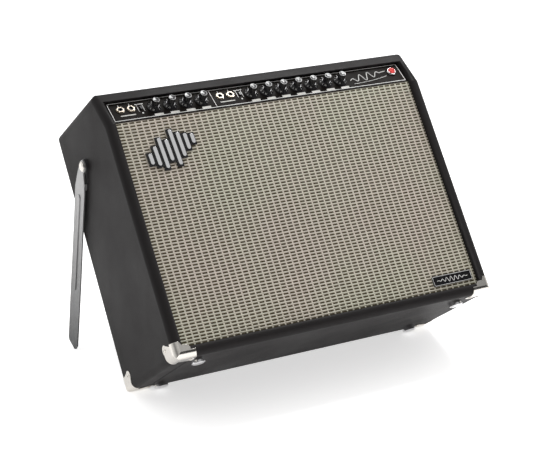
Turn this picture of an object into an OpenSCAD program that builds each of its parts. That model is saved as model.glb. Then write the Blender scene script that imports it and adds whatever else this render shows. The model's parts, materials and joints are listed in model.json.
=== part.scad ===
// Guitar amplifier combo with two loudspeakers, leaning back on its tilt-back legs.
// The floor is z = 0, the grille faces -Y, and the origin is below the middle of the amplifier.

/* [Show] */
// Which node to draw

/* [Cabinet] */
// Width over the vinyl covering
cab_width = 663; // [500:1:800]
// Height of the cabinet without its glides
cab_height = 508; // [400:1:600]
// Depth at the bottom of the cabinet
cab_depth = 267; // [200:1:350]
// Thickness of the pine boards
board = 19; // [12:0.5:25]
// Thickness of the vinyl covering
vinyl = 0.6; // [0.4:0.1:1.5]
// Radius of the rounded outer edges
edge_round = 12; // [6:0.5:18]
// Bevel on the inner edges of the front opening, along its sides and foot
lip_ease = 5; // [2:0.5:7]
// Height where the front starts to slope back under the control panel
break_height = 438; // [350:1:480]
// How far the front has moved back at that height
break_setback = 17.5; // [5:0.5:40]
// How far the front has moved back at the top
top_setback = 49.5; // [30:0.5:90]
// Angle by which the cabinet leans back on its legs
lean = 35.5; // [20:0.5:40]

/* [Front] */
// Depth of the grille cloth behind the front edges
grille_recess = 10; // [5:0.5:20]
// Thickness of the woven grille cloth
cloth = 1.2; // [0.8:0.1:2]
// Thickness of the plywood baffle board
baffle = 12.7; // [9:0.1:19]
// Depth of the control panel behind the sloping front edges
panel_recess = 8; // [4:0.5:15]
// Thickness of the steel control panel
panel_sheet = 1.5; // [1:0.1:2.5]
// Height of the knob centres along the slope
knob_height = 33; // [20:0.5:45]
// Height of the input jacks along the slope
jack_height = 37; // [20:0.5:45]
// Distance between neighbouring knobs
knob_pitch = 32; // [28:0.1:36]
// Radius of the numbered knob skirt
skirt_radius = 13.6; // [10:0.1:14]
// Radius of the knob grip at its foot
grip_radius = 7.2; // [6:0.1:10]
// Height of a knob above the panel
knob_tall = 20; // [12:0.5:22]
// Grooves around a knob grip
grip_grooves = 12; // [8:1:18]
// Radius of the bore of an input jack, for a 6.35 mm plug
jack_bore = 3.3; // [3.2:0.05:3.5]

/* [Chassis] */
// Thickness of the chassis sheet
chassis_sheet = 1.6; // [1:0.1:2.5]
// Half of the chassis width
chassis_half = 303; // [250:1:310]
// Distance of the chassis back wall in front of the cabinet back
chassis_inset = 14; // [8:0.5:25]

/* [Speakers] */
// Half of the distance between the two speakers
speaker_side = 156; // [150:0.5:160]
// Height of the speaker centres along the baffle
speaker_height = 222; // [180:1:240]
// Outer radius of the speaker frame
frame_radius = 153.5; // [140:0.5:155]
// Radius of the opening in the baffle board
opening_radius = 140; // [130:0.5:145]
// Outer radius of the paper cone
cone_radius = 124; // [110:0.5:130]
// Radius of the voice coil former
coil_radius = 25.4; // [20:0.1:32]
// Travel of a cone each way
cone_travel = 4; // [2:0.5:6]

/* [Legs] */
// Height of the leg pivot above the cabinet bottom
pivot_height = 411; // [350:1:450]
// Distance of the leg pivot behind the middle of the cabinet
pivot_back = 25; // [0:1:60]
// Angle between the folded and the open leg
leg_swing = 47.8; // [35:0.1:60]
// Width of the leg plate
leg_width = 43; // [30:0.5:50]
// Thickness of the leg plate
leg_sheet = 2.5; // [2:0.1:4]
// Gap that the bracket holds between the leg and the cabinet side
leg_gap = 5.5; // [4:0.1:8]
// Radius of the pivot bolt shank
pivot_radius = 4; // [3:0.1:6]

/* [Fittings] */
// Thickness of the nickel plated corner protectors
corner_sheet = 1.2; // [0.8:0.1:2]
// Radius of the glides
glide_radius = 13; // [9:0.5:18]
// Height of the glides
glide_height = 9; // [6:0.5:14]
// Distance of the glides from the middle of the cabinet, sideways
glide_side = 273; // [240:1:300]
// Length of the carrying handle
handle_length = 236; // [200:1:260]
// Width of the handle strap
strap_width = 27; // [20:1:35]

/* [Hidden] */
eps = 0.01;
half_w = cab_width / 2;
half_d = cab_depth / 2;
inner_x = half_w - board;
front_tilt = atan(break_setback / break_height);
slope_tilt = atan((top_setback - break_setback) / (cab_height - break_height));
front_length = break_height / cos(front_tilt);
slope_length = (cab_height - board - break_height) / cos(slope_tilt);
// The cabinet stands on the plated corners of its rear bottom edge.
lift = edge_round + corner_sheet - edge_round * (sin(lean) + cos(lean));
front_reach = (cab_depth - edge_round) * cos(lean) - edge_round * sin(lean) + edge_round + corner_sheet;
rear_reach = (cab_height - edge_round) * sin(lean) - edge_round * cos(lean) + edge_round;
shift_y = (front_reach - rear_reach) / 2;
side_outline = [
  [-half_d, 0],
  [half_d, 0],
  [half_d, cab_height],
  [-half_d + top_setback, cab_height],
  [-half_d + break_setback, break_height]
];
jack_x = [-289, -268, -88, -66];
switch_x = [-249, -47];
left_knob_x = -223.5;
right_knob_x = -24;
right_knob_pitch = knob_pitch + 0.3;
left_knob_count = 4;
lamp_x = 289;
left_knobs = [for (i = [0:left_knob_count - 1]) left_knob_x + i * knob_pitch];
right_knobs = [for (i = [0:10 - left_knob_count]) right_knob_x + i * right_knob_pitch];
knob_x = concat(left_knobs, right_knobs);
hole_radius = 4.9;
shaft_radius = 3;
running_gap = 0.06;
bright_slot = [5, 11];
bright_travel = 4;
chassis_floor = break_height + 3.5;
chassis_top = cab_height - board - 0.3;
rear_wall = half_d - chassis_inset;
rear_row = (chassis_floor + chassis_top) / 2;
baffle_top = front_length + 1.5;
baffle_foot = board + 1.6;
baffle_back = grille_recess + cloth + baffle;
leg_angle = leg_swing - 90;
stand_angle = leg_swing - lean;
pivot_above_floor = (half_d - pivot_back) * sin(lean) + pivot_height * cos(lean) + lift;
toe_side = -13;
leg_reach = (pivot_above_floor + toe_side * sin(stand_angle)) / cos(stand_angle);
leg_face = half_w + leg_gap;
stop_along = 38;
stop_side = -5.7;
inlet_x = -282;
rocker_x = -246;
rocker_tilt = 10;
toggle_tilt = 12;
toggle_x = -206;
selector_x = -160;
output_x = 170;
data_x = 215;
footswitch_x = 262;
emblem_x = -220;
emblem_along = 378;
plate_x = 259.5;
plate_along = 40;
screw_head = 3.8;
panel_screw_side = 303;
$fn = 48;

// ---------- helpers: outlines ----------

function unit(v) = v / norm(v);
function before(pts, i) = pts[(i + len(pts) - 1) % len(pts)];
function after(pts, i) = pts[(i + 1) % len(pts)];
// Direction from a corner into the outline, halfway between its two edges
function into(pts, i) = unit(unit(before(pts, i) - pts[i]) + unit(after(pts, i) - pts[i]));
// Half of the angle between the two edges of a corner
function half_corner(pts, i) = acos(unit(before(pts, i) - pts[i]) * unit(after(pts, i) - pts[i])) / 2;
// A convex outline with every edge moved inward by d
function inset(pts, d) = [
  for (i = [0:len(pts) - 1]) pts[i] + into(pts, i) * d / sin(half_corner(pts, i))
];

// ---------- helpers: frames ----------

// From the upright cabinet, with its origin below the cabinet middle, to the leaning amplifier
module leaned() {
  translate([0, shift_y, lift])
    rotate([-lean, 0, 0])
      translate([0, -half_d, 0])
        children();
}

// z runs up the lower front edge and y goes into the cabinet
module front_frame() {
  translate([0, -half_d, 0])
    rotate([-front_tilt, 0, 0])
      children();
}

// z runs up the slope and y goes into the cabinet
module slope_frame() {
  translate([0, -half_d + break_setback, break_height])
    rotate([-slope_tilt, 0, 0])
      children();
}

// On the face of the control panel: y runs up the slope and z comes out of the panel
module on_panel(x, along) {
  slope_frame()
    translate([x, panel_recess, along])
      rotate([90, 0, 0])
        children();
}

// On the grille cloth: y runs up and z comes out of the cloth
module on_grille(x, along) {
  front_frame()
    translate([x, grille_recess, along])
      rotate([90, 0, 0])
        children();
}

// On the back wall of the chassis: y runs up and z comes out to the rear
module on_rear(x) {
  translate([x, rear_wall, rear_row])
    rotate([90, 0, 180])
      children();
}

// Behind the baffle at one speaker: z runs to the rear along the speaker axis
module at_speaker(side) {
  front_frame()
    translate([side * speaker_side, baffle_back, speaker_height])
      rotate([-90, 0, 0])
        children();
}

// On a cabinet side: x runs along the open leg, y toward its rear edge and z out of the right side
module at_leg(side) {
  mirror([side < 0 ? 1 : 0, 0, 0])
    translate([0, pivot_back, pivot_height])
      rotate([leg_angle, 0, 0])
        rotate([90, 0, 90])
          children();
}

module both_sides() {
  children();
  mirror([1, 0, 0])
    children();
}

// ---------- helpers: solids ----------

module block(low, high) {
  translate(low)
    cube(high - low);
}

module ring(outer, inner, height) {
  difference() {
    cylinder(r = outer, h = height);
    translate([0, 0, -1])
      cylinder(r = inner, h = height + 2);
  }
}

// A flat bar with round ends, centred, standing on z = 0
module round_bar(length, width, height) {
  translate([-(length - width) / 2, -width / 2, 0])
    cube([length - width, width, height]);
  for (end = [-1, 1])
    translate([end * (length - width) / 2, 0, 0])
      cylinder(r = width / 2, h = height);
}

// Takes the corner i of an outline off to a round of the given radius
module corner_cut(pts, i, radius) {
  corner = pts[i];
  inner = corner + into(pts, i) * radius / sin(half_corner(pts, i));
  reach = radius / tan(half_corner(pts, i));
  foot_a = corner + unit(before(pts, i) - corner) * reach;
  foot_b = corner + unit(after(pts, i) - corner) * reach;
  difference() {
    polygon([
      inner,
      foot_a,
      foot_a + unit(foot_a - inner) * 2,
      corner - into(pts, i) * 4,
      foot_b + unit(foot_b - inner) * 2,
      foot_b
    ]);
    translate(inner)
      circle(r = radius + 0.05, $fn = 64);
  }
}

// Rounds the long edges between the side faces and edge i of the outline
module edge_cut(pts, i, half, radius) {
  run = after(pts, i) - pts[i];
  for (end = [-1, 1])
    translate([pts[i][0], pts[i][1], 0])
      rotate([0, 0, atan2(run[1], run[0])])
        translate([-radius * 2, 0, end * half])
          difference() {
            translate([0, -3, end > 0 ? -radius : -3])
              cube([norm(run) + radius * 4, radius + 3, radius + 3]);
            translate([-1, radius, -end * radius])
              rotate([0, 90, 0])
                cylinder(r = radius + 0.05, h = norm(run) + radius * 4 + 2, $fn = 64);
          }
}

// The cabinet as a solid block with rounded edges, shrunk by d on every side
module cabinet_block(d) {
  pts = inset(side_outline, d);
  radius = edge_round - d;
  rotate([90, 0, 90])
    difference() {
      linear_extrude(height = cab_width - 2 * d, center = true)
        difference() {
          polygon(pts);
          for (i = [0:3])
            corner_cut(pts, i, radius);
        }
      for (i = [0:4])
        edge_cut(pts, i, half_w - d, radius);
    }
}

// Bevels the front of the opening along the bottom board
module foot_lip_cut() {
  side = lip_ease * sqrt(2);
  front_frame()
    translate([0, 0, board])
      rotate([45, 0, 0])
        cube([2 * inner_x, side, side], center = true);
}

// Bevels the front of the opening along the right side board
module side_lip_cuts() {
  side = lip_ease * sqrt(2);
  front_frame()
    translate([inner_x, 0, board - lip_ease])
      rotate([0, 0, 45])
        translate([-side / 2, -side / 2, 0])
          cube([side, side, break_height - board + lip_ease + 4]);
  slope_frame()
    translate([inner_x, 0, -2])
      rotate([0, 0, 45])
        translate([-side / 2, -side / 2, 0])
          cube([side, side, slope_length + 3]);
}

// Alternate fingers of the glued joint along a long edge of the top or bottom board
module fingers(low_z, first) {
  pitch = cab_depth / 13;
  for (i = [first:2:12])
    block([inner_x, -half_d + i * pitch, low_z], [half_w, -half_d + (i + 1) * pitch, low_z + board]);
}

// ---------- cabinet ----------

module side_board(side) {
  color([0.72, 0.58, 0.38])
    leaned()
      mirror([side < 0 ? 1 : 0, 0, 0])
        difference() {
          intersection() {
            cabinet_block(vinyl);
            block([inner_x, -half_d, 0], [half_w, half_d, cab_height]);
          }
          side_lip_cuts();
          fingers(cab_height - board, 3);
          fingers(0, 1);
          translate([half_w - board - 1, pivot_back, pivot_height])
            rotate([0, 90, 0])
              cylinder(r = pivot_radius + 0.1, h = board + 2);
        }
}

module left_side_board() {
  side_board(-1);
}

module right_side_board() {
  side_board(1);
}

module end_board(low_z, first_finger) {
  intersection() {
    cabinet_block(vinyl);
    union() {
      block([-inner_x, -half_d, low_z], [inner_x, half_d, low_z + board]);
      both_sides()
        fingers(low_z, first_finger);
    }
  }
}

module top_board() {
  color([0.72, 0.58, 0.38])
    leaned()
      difference() {
        end_board(cab_height - board, 3);
        bolt_places()
          translate([0, 0, -board - 1])
            cylinder(r = 2.6, h = board + 3);
      }
}

module bottom_board() {
  color([0.72, 0.58, 0.38])
    leaned()
      difference() {
        end_board(0, 1);
        foot_lip_cut();
        glide_places()
          translate([0, 0, -1])
            cylinder(r = 2.2, h = board - 3);
      }
}

// Black vinyl glued around the outside of all four boards
module vinyl_covering() {
  color([0.12, 0.12, 0.12])
    leaned()
      difference() {
        cabinet_block(0);
        cabinet_block(vinyl);
        block([-inner_x, -half_d - 5, board], [inner_x, half_d + 5, cab_height - board]);
        block(
          [-inner_x - lip_ease, -half_d - 5, board - lip_ease],
          [inner_x + lip_ease, 0, cab_height - board]
        );
        glide_places()
          translate([0, 0, -3])
            cylinder(r = 2.3, h = 5);
        bolt_places()
          translate([0, 0, -3])
            cylinder(r = 2.7, h = 6);
        both_sides()
          translate([half_w - 3, pivot_back, pivot_height])
            rotate([0, 90, 0])
              cylinder(r = pivot_radius + 0.2, h = 6);
      }
}

// Pine strips that carry the baffle and the back panels
module cleats() {
  cleat = 19;
  cleat_side = inner_x - 0.1;
  depth = 15;
  color([0.75, 0.62, 0.42])
    leaned() {
      front_frame() {
        block([-200, baffle_back, board + 2.6], [200, baffle_back + cleat, board + 2.6 + depth]);
        both_sides() {
          block([inner_x - cleat, baffle_back, board + 2.6], [cleat_side, baffle_back + cleat, board + 41]);
          block([inner_x - cleat, baffle_back, 390], [cleat_side, baffle_back + cleat, 430]);
        }
      }
      both_sides() {
        block(
          [inner_x - cleat, half_d - 11 - depth, board],
          [cleat_side, half_d - 11, 168]
        );
        block(
          [inner_x - cleat, half_d - 11 - depth, 316],
          [cleat_side, half_d - 11, chassis_floor - 6]
        );
      }
    }
}

// ---------- front ----------

module baffle_board() {
  color([0.6, 0.47, 0.3])
    leaned()
      front_frame()
        difference() {
          block(
            [-inner_x + 1, grille_recess + cloth, baffle_foot],
            [inner_x - 1, baffle_back, baffle_top]
          );
          for (side = [-1, 1])
            translate([side * speaker_side, 0, speaker_height])
              rotate([-90, 0, 0]) {
                cylinder(r = opening_radius, h = 60, $fn = 96);
                bolt_circle()
                  cylinder(r = 2.6, h = 60);
              }
        }
}

module grille_cloth() {
  color([0.78, 0.76, 0.7])
    leaned()
      front_frame()
        block(
          [-inner_x + 0.4, grille_recess, baffle_foot - 0.5],
          [inner_x - 0.4, grille_recess + cloth, baffle_top + 0.5]
        );
}

// Length of bar i of the sound-wave emblem
function wave_bar(i) = [14, 30, 52, 34, 62, 40, 24, 12][i];
bar_pitch = 13.5;
bar_width = 7;
bar_slant = 76;
emblem_turn = 17;

module wave_places() {
  for (i = [0:7])
    translate([(i - 3.5) * bar_pitch, 0, 0])
      rotate([0, 0, bar_slant])
        let ($length = wave_bar(i))
          children();
}

// Black foot of the emblem on the grille
module emblem_backing() {
  border = bar_width + 5.2;
  spine = 8 * bar_pitch - 4;
  color([0.05, 0.05, 0.05])
    leaned()
      on_grille(emblem_x, emblem_along)
        rotate([0, 0, emblem_turn]) {
          wave_places()
            block([-$length / 2 - border / 2, -border / 2, 0], [$length / 2 + border / 2, border / 2, 3]);
          block([-spine / 2, -4.5, 0], [spine / 2, 4.5, 2.6]);
        }
}

// Bright raised bars of the emblem
module emblem_bars() {
  color([0.85, 0.85, 0.85])
    leaned()
      on_grille(emblem_x, emblem_along)
        rotate([0, 0, emblem_turn])
          translate([0, 0, 3])
            wave_places()
              round_bar($length + bar_width, bar_width, 3);
}

// Small plate with a raised rim near the lower right corner of the grille
module name_plate() {
  plate = [87, 20];
  color([0.07, 0.07, 0.07])
    leaned()
      on_grille(plate_x, plate_along)
        difference() {
          round_plate(plate, 3, 2.4);
          translate([0, 0, 1.6])
            round_plate([plate[0] - 3, plate[1] - 3], 2, 2);
        }
}

module round_plate(size, radius, height) {
  block([-size[0] / 2 + radius, -size[1] / 2, 0], [size[0] / 2 - radius, size[1] / 2, height]);
  block([-size[0] / 2, -size[1] / 2 + radius, 0], [size[0] / 2, size[1] / 2 - radius, height]);
  for (sx = [-1, 1])
    for (sy = [-1, 1])
      translate([sx * (size[0] / 2 - radius), sy * (size[1] / 2 - radius), 0])
        cylinder(r = radius, h = height);
}

// ---------- chassis and control panel ----------

// Height along the slope where the recessed panel starts and ends
panel_low = 7.2;
panel_high = 59;

module panel_openings(extra) {
  for (x = jack_x)
    translate([x, 0, jack_height])
      rotate([-90, 0, 0])
        cylinder(r = hole_radius + extra, h = 20);
  for (x = knob_x)
    translate([x, 0, knob_height])
      rotate([-90, 0, 0])
        cylinder(r = hole_radius + extra, h = 20);
  for (x = switch_x)
    block(
      [x - bright_slot[0] / 2 - extra, 0, jack_height - bright_slot[1] / 2 - extra],
      [x + bright_slot[0] / 2 + extra, 20, jack_height + bright_slot[1] / 2 + extra]
    );
  translate([lamp_x, 0, jack_height])
    rotate([-90, 0, 0])
      cylinder(r = 7.6 + extra, h = 20);
}

module control_panel() {
  color([0.04, 0.04, 0.04])
    leaned()
      slope_frame()
        difference() {
          block(
            [-inner_x + 1, panel_recess, panel_low],
            [inner_x - 1, panel_recess + panel_sheet, panel_high]
          );
          panel_openings(0);
        }
}

// Folded aluminium tray, open at the top, hung under the top board
module chassis() {
  color([0.75, 0.76, 0.78])
    leaned()
      difference() {
        union() {
          chassis_skin();
          both_sides()
            block(
              [chassis_half - 24, -30, chassis_top - chassis_sheet],
              [chassis_half, 96, chassis_top]
            );
        }
        slope_frame()
          panel_openings(0.2);
        rear_openings();
        bolt_places()
          translate([0, 0, -60])
            cylinder(r = 2.6, h = 60);
        for (i = [0:11])
          translate([i * 22 - 60, 20, chassis_floor - 2])
            rotate([0, 0, 90])
              translate([0, 0, -1])
                round_bar(50, 5, 8);
      }
}

module chassis_skin() {
  wall = panel_recess + panel_sheet;
  rise = chassis_floor - break_height + wall * sin(slope_tilt);
  front_low = -half_d + break_setback + wall * cos(slope_tilt) + rise * tan(slope_tilt) + 0.1;
  front_top = front_low + (chassis_top - chassis_floor) * tan(slope_tilt);
  outer = [
    [front_low, chassis_floor],
    [rear_wall, chassis_floor],
    [rear_wall, chassis_top],
    [front_top, chassis_top]
  ];
  inner = inset(outer, chassis_sheet);
  rotate([90, 0, 90])
    difference() {
      linear_extrude(height = chassis_half * 2, center = true)
        polygon(outer);
      linear_extrude(height = (chassis_half - chassis_sheet) * 2, center = true)
        polygon([inner[0], inner[1], inner[2] + [0, 10], inner[3] + [10 * tan(slope_tilt), 10]]);
    }
}

module rear_openings() {
  on_rear(rocker_x)
    translate([0, 0, -5])
      block([-7, -11, 0], [7, 11, 10]);
  on_rear(toggle_x)
    translate([0, 0, -5])
      cylinder(r = 6.2, h = 10);
  on_rear(selector_x)
    translate([0, 0, -5])
      cylinder(r = hole_radius, h = 10);
  on_rear(inlet_x)
    translate([0, 0, -5])
      block([-14, -10.5, 0], [14, 10.5, 10]);
  on_rear(output_x)
    translate([0, 0, -5])
      cylinder(r = 11.6, h = 10);
  on_rear(data_x)
    translate([0, 0, -5])
      block([-6.2, -5.7, 0], [6.2, 5.7, 10]);
  on_rear(footswitch_x)
    translate([0, 0, -5])
      cylinder(r = hole_radius, h = 10);
}

module input_jacks() {
  color([0.3, 0.3, 0.3])
    leaned()
      for (x = jack_x)
        on_panel(x, jack_height)
          jack();
}

// Socket for a 6.35 mm plug, with its face on z = 0 of the panel
module jack() {
  difference() {
    union() {
      translate([0, 0, -9])
        cylinder(r = hole_radius - 0.15, h = 12.2);
      block([-9, -8, -30], [9, 8, -8]);
    }
    translate([0, 0, -28])
      cylinder(r = jack_bore, h = 40);
  }
}

// Nuts on the jacks and on the potentiometers, all with the same thread
module panel_nuts() {
  color([0.8, 0.79, 0.76])
    leaned() {
      for (x = jack_x)
        on_panel(x, jack_height)
          panel_nut();
      for (x = knob_x)
        on_panel(x, knob_height)
          panel_nut();
    }
}

module panel_nut() {
  difference() {
    union() {
      cylinder(r = 7.4, h = 0.6);
      cylinder(r = 7.1, h = 2.8, $fn = 6);
    }
    translate([0, 0, -1])
      cylinder(r = hole_radius - 0.1, h = 6);
  }
}

module potentiometers() {
  color([0.55, 0.56, 0.58])
    leaned()
      for (x = knob_x)
        on_panel(x, knob_height)
          potentiometer();
}

module potentiometer() {
  difference() {
    union() {
      translate([0, 0, -20])
        cylinder(r = 8.2, h = 11.5);
      translate([0, 0, -9])
        cylinder(r = hole_radius - 0.15, h = 12.2);
      block([-7, -15, -12], [7, 0, -10]);
    }
    translate([0, 0, -14])
      cylinder(r = shaft_radius + running_gap, h = 30);
  }
}

module switch_frames() {
  color([0.6, 0.6, 0.62])
    leaned()
      for (x = switch_x)
        on_panel(x, jack_height)
          difference() {
            block([-6, -10, -14], [6, 10, -4.6]);
            block([-3.2, -5.4, -11], [3.2, 5.4, -3]);
          }
}

// Slider of a bright switch, resting at the lower end of its slot
module bright_slider(i) {
  color([0.05, 0.05, 0.05])
    leaned()
      on_panel(switch_x[i], jack_height - bright_travel / 2) {
        block([-2.9, -3.1, -10], [2.9, 3.1, -6]);
        difference() {
          block([-2.1, -3.1, -7], [2.1, 3.1, 3.6]);
          for (groove = [-1.6, 0, 1.6])
            block([-3, groove - 0.3, 3.1], [3, groove + 0.3, 5]);
        }
      }
}

module left_bright_slider() {
  bright_slider(0);
}

module right_bright_slider() {
  bright_slider(1);
}

module lamp_holder() {
  color([0.85, 0.85, 0.86])
    leaned()
      on_panel(lamp_x, jack_height)
        difference() {
          union() {
            translate([0, 0, -24])
              cylinder(r = 7.4, h = 26);
            cylinder(r = 9.6, h = 2.4);
            translate([0, 0, 2.4])
              cylinder(r1 = 9.6, r2 = 8.2, h = 1.8);
          }
          translate([0, 0, -21])
            cylinder(r = 6.2, h = 40);
          translate([0, 0, 1])
            cylinder(r = 7.2, h = 10);
        }
}

// Faceted red jewel in front of the pilot lamp
module lamp_jewel() {
  color([0.8, 0.02, 0.03])
    leaned()
      on_panel(lamp_x, jack_height) {
        translate([0, 0, 1])
          cylinder(r = 7, h = 3.4);
        translate([0, 0, 4.4])
          cylinder(r1 = 7, r2 = 5.2, h = 2.6, $fn = 12);
        translate([0, 0, 7])
          cylinder(r1 = 5.2, r2 = 2.2, h = 1.8, $fn = 12);
      }
}

// Knob with its potentiometer shaft, which turn together
module panel_knob(i) {
  color([0.05, 0.05, 0.05])
    leaned()
      on_panel(knob_x[i], knob_height) {
        difference() {
          union() {
            translate([0, 0, 0.7])
              cylinder(r = skirt_radius, h = 1.4, $fn = 72);
            translate([0, 0, 2.1])
              cylinder(r1 = skirt_radius, r2 = grip_radius + 1, h = 4.4, $fn = 72);
            difference() {
              translate([0, 0, 6.4])
                cylinder(r1 = grip_radius, r2 = grip_radius - 0.8, h = knob_tall - 6.4);
              for (turn = [0:grip_grooves - 1])
                rotate([0, 0, turn * 360 / grip_grooves])
                  translate([grip_radius + 0.1, 0, 7.4])
                    cylinder(r = 1.1, h = knob_tall, $fn = 16);
            }
          }
          translate([0, 0, -1])
            cylinder(r = 8.2, h = 5);
          translate([0, 0, -1])
            cylinder(r = shaft_radius + 0.05, h = 14);
          translate([0, 0, knob_tall - 0.6])
            cylinder(r1 = 1.5, r2 = grip_radius - 1.6, h = 0.6 + eps);
        }
        translate([0, 0, -13])
          cylinder(r = shaft_radius, h = 25.5);
      }
}

module knob_01() {
  panel_knob(0);
}

module knob_02() {
  panel_knob(1);
}

module knob_03() {
  panel_knob(2);
}

module knob_04() {
  panel_knob(3);
}

module knob_05() {
  panel_knob(4);
}

module knob_06() {
  panel_knob(5);
}

module knob_07() {
  panel_knob(6);
}

module knob_08() {
  panel_knob(7);
}

module knob_09() {
  panel_knob(8);
}

module knob_10() {
  panel_knob(9);
}

module knob_11() {
  panel_knob(10);
}

// Main signal board and amplifier board on short posts in the chassis
module circuit_boards() {
  low = chassis_floor + chassis_sheet;
  color([0.05, 0.3, 0.15])
    leaned() {
      block([-150, -60, low + 8], [90, 60, low + 9.6]);
      block([110, -50, low + 8], [240, 70, low + 9.6]);
      for (x = [-140, 80, 120, 230])
        for (y = [-40, 50])
          translate([x, y, low])
            cylinder(r = 3, h = 8.5);
      for (i = [0:4])
        block([-130 + i * 38, -20, low + 9], [-110 + i * 38, 0, low + 12]);
      for (i = [0:3])
        translate([130 + i * 28, 40, low + 9])
          cylinder(r = 8, h = 22);
      block([120, -40, low + 9], [230, -18, low + 30]);
    }
}

// Enclosed switching power supply in the chassis
module power_supply() {
  low = chassis_floor + chassis_sheet;
  color([0.7, 0.7, 0.72])
    leaned()
      difference() {
        block([-290, -50, low], [-190, 50, low + 34]);
        for (i = [0:8])
          translate([-280 + i * 10, 0, low + 30])
            rotate([0, 0, 90])
              round_bar(70, 4, 10);
        block([-288, -48, low + 2], [-192, 48, low + 32]);
      }
}

module mains_inlet() {
  color([0.06, 0.06, 0.06])
    leaned()
      on_rear(inlet_x)
        difference() {
          union() {
            block([-13.8, -10.3, -22], [13.8, 10.3, 1]);
            block([-20, -12.5, 0], [20, 12.5, 2]);
          }
          difference() {
            block([-11.5, -8, -16], [11.5, 8, 6]);
            for (x = [-7, 0, 7])
              block([x - 1, x == 0 ? 1 : -4, -17], [x + 1, x == 0 ? 6 : 1, -2]);
          }
        }
}

// Balanced output, data socket and footswitch jack
module rear_sockets() {
  color([0.1, 0.1, 0.1])
    leaned() {
      on_rear(output_x) {
        difference() {
          union() {
            translate([0, 0, -22])
              cylinder(r = 11.4, h = 23);
            block([-13, -15.5, 0], [13, 15.5, 2]);
          }
          translate([0, 0, -16])
            cylinder(r = 9.5, h = 30);
        }
        for (turn = [90, 210, 330])
          rotate([0, 0, turn])
            translate([5, 0, -17])
              cylinder(r = 1.2, h = 14);
      }
      on_rear(data_x)
        difference() {
          block([-6, -5.5, -16], [6, 5.5, 0.6]);
          block([-4.4, -3.9, -12], [4.4, 3.9, 3]);
          block([-2.8, -1, -14], [2.8, 1, 3]);
        }
      on_rear(footswitch_x)
        jack();
      on_rear(footswitch_x)
        panel_nut();
      on_rear(toggle_x)
        difference() {
          union() {
            translate([0, 0, -16])
              cylinder(r = 6, h = 19);
            cylinder(r = 8.5, h = 1.6, $fn = 6);
          }
          translate([0, 0, -12])
            cylinder(r = 4.6, h = 20);
        }
      on_rear(selector_x) {
        potentiometer();
        panel_nut();
      }
    }
}

// Power switch, rocking about its middle
module power_rocker() {
  color([0.07, 0.07, 0.07])
    leaned()
      on_rear(rocker_x)
        rotate([rocker_tilt, 0, 0])
          difference() {
            rotate([0, 90, 0])
              translate([0, 0, -6.3])
                cylinder(r = 9, h = 12.6);
            block([-8, -12, -12], [8, 12, -5]);
            translate([0, 0, 10.5])
              rotate([0, 90, 0])
                cylinder(r = 7, h = 20, center = true);
          }
}

// Mute switch lever
module mute_toggle() {
  color([0.85, 0.85, 0.86])
    leaned()
      on_rear(toggle_x)
        rotate([toggle_tilt, 0, 0]) {
          translate([0, 0, -8])
            cylinder(r1 = 1.6, r2 = 2.6, h = 17);
          translate([0, 0, 9])
            sphere(r = 2.6);
        }
}

// Output power selector with its shaft
module power_selector_knob() {
  color([0.06, 0.06, 0.06])
    leaned()
      on_rear(selector_x) {
        difference() {
          union() {
            translate([0, 0, 3.6])
              cylinder(r = 8.5, h = 7);
            block([-1, 0, 3.6], [1, 10.4, 10]);
          }
          translate([0, 0, 3])
            cylinder(r = shaft_radius + 0.05, h = 6);
        }
        translate([0, 0, -13])
          cylinder(r = shaft_radius, h = 21.5);
      }
}

// ---------- outer fittings ----------

lobe_far = 37;
lobe_near = 25;
lobe_radius = 9.5;
screw_hole = 1.9;

// One corner's share of the protector shell; the lobe on each face carries a screw
module protector_lobes() {
  deep = edge_round + 1;
  translate([-4, 0, 0])
    rotate([90, 0, 90])
      linear_extrude(height = deep + 4)
        lobe_outline(lobe_far, lobe_near, lobe_radius);
  translate([0, deep, 0])
    rotate([90, 0, 0])
      linear_extrude(height = deep + 4)
        polygon([[-4, -4], [28, -4], [31, 17], [26, 22.5], [16, 22.5], [12, 30], [-4, 30]]);
  translate([0, 0, -4])
    linear_extrude(height = deep + 4)
      lobe_outline(lobe_far, lobe_near, lobe_radius);
}

// A plate that narrows to a round lobe of radius r about the point (a, b)
module lobe_outline(a, b, r) {
  reach = r * 0.7;
  polygon([
    [-4, -4], [a + 2, -4],
    [a + reach, b - reach], [a - reach, b + reach],
    [12, 26], [-4, 26]
  ]);
  translate([a, b])
    circle(r = r);
}

// The two screws of each corner, one on the side and one underneath
module protector_screw_places() {
  both_sides()
    for (end = [-1, 1]) {
      translate([-half_w - corner_sheet, end * (half_d - lobe_far), lobe_near])
        rotate([0, -90, 0])
          children();
      translate([-half_w + lobe_far, end * (half_d - lobe_near), -corner_sheet])
        rotate([180, 0, 0])
          children();
    }
}

// Nickel plated pressed corners at the four bottom corners
module corner_protectors() {
  color([0.86, 0.84, 0.8])
    leaned()
      intersection() {
        difference() {
          cabinet_block(-corner_sheet);
          cabinet_block(0);
          protector_screw_places()
            translate([0, 0, -2])
              cylinder(r = screw_hole, h = 4);
        }
        both_sides()
          union() {
            translate([-half_w, -half_d, 0])
              protector_lobes();
            mirror([0, 1, 0])
              translate([-half_w, -half_d, 0])
                protector_lobes();
          }
      }
}

// Oval head screw with a cross recess, its head on z = 0
module case_screw() {
  difference() {
    union() {
      cylinder(r = screw_head, h = 0.6);
      translate([0, 0, 0.6])
        cylinder(r1 = screw_head, r2 = screw_head * 0.6, h = 1);
      translate([0, 0, -12])
        cylinder(r = 1.7, h = 12.5);
    }
    for (turn = [0, 90])
      rotate([0, 0, turn])
        block([-2, -0.4, 0.7], [2, 0.4, 3]);
  }
}

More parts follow.
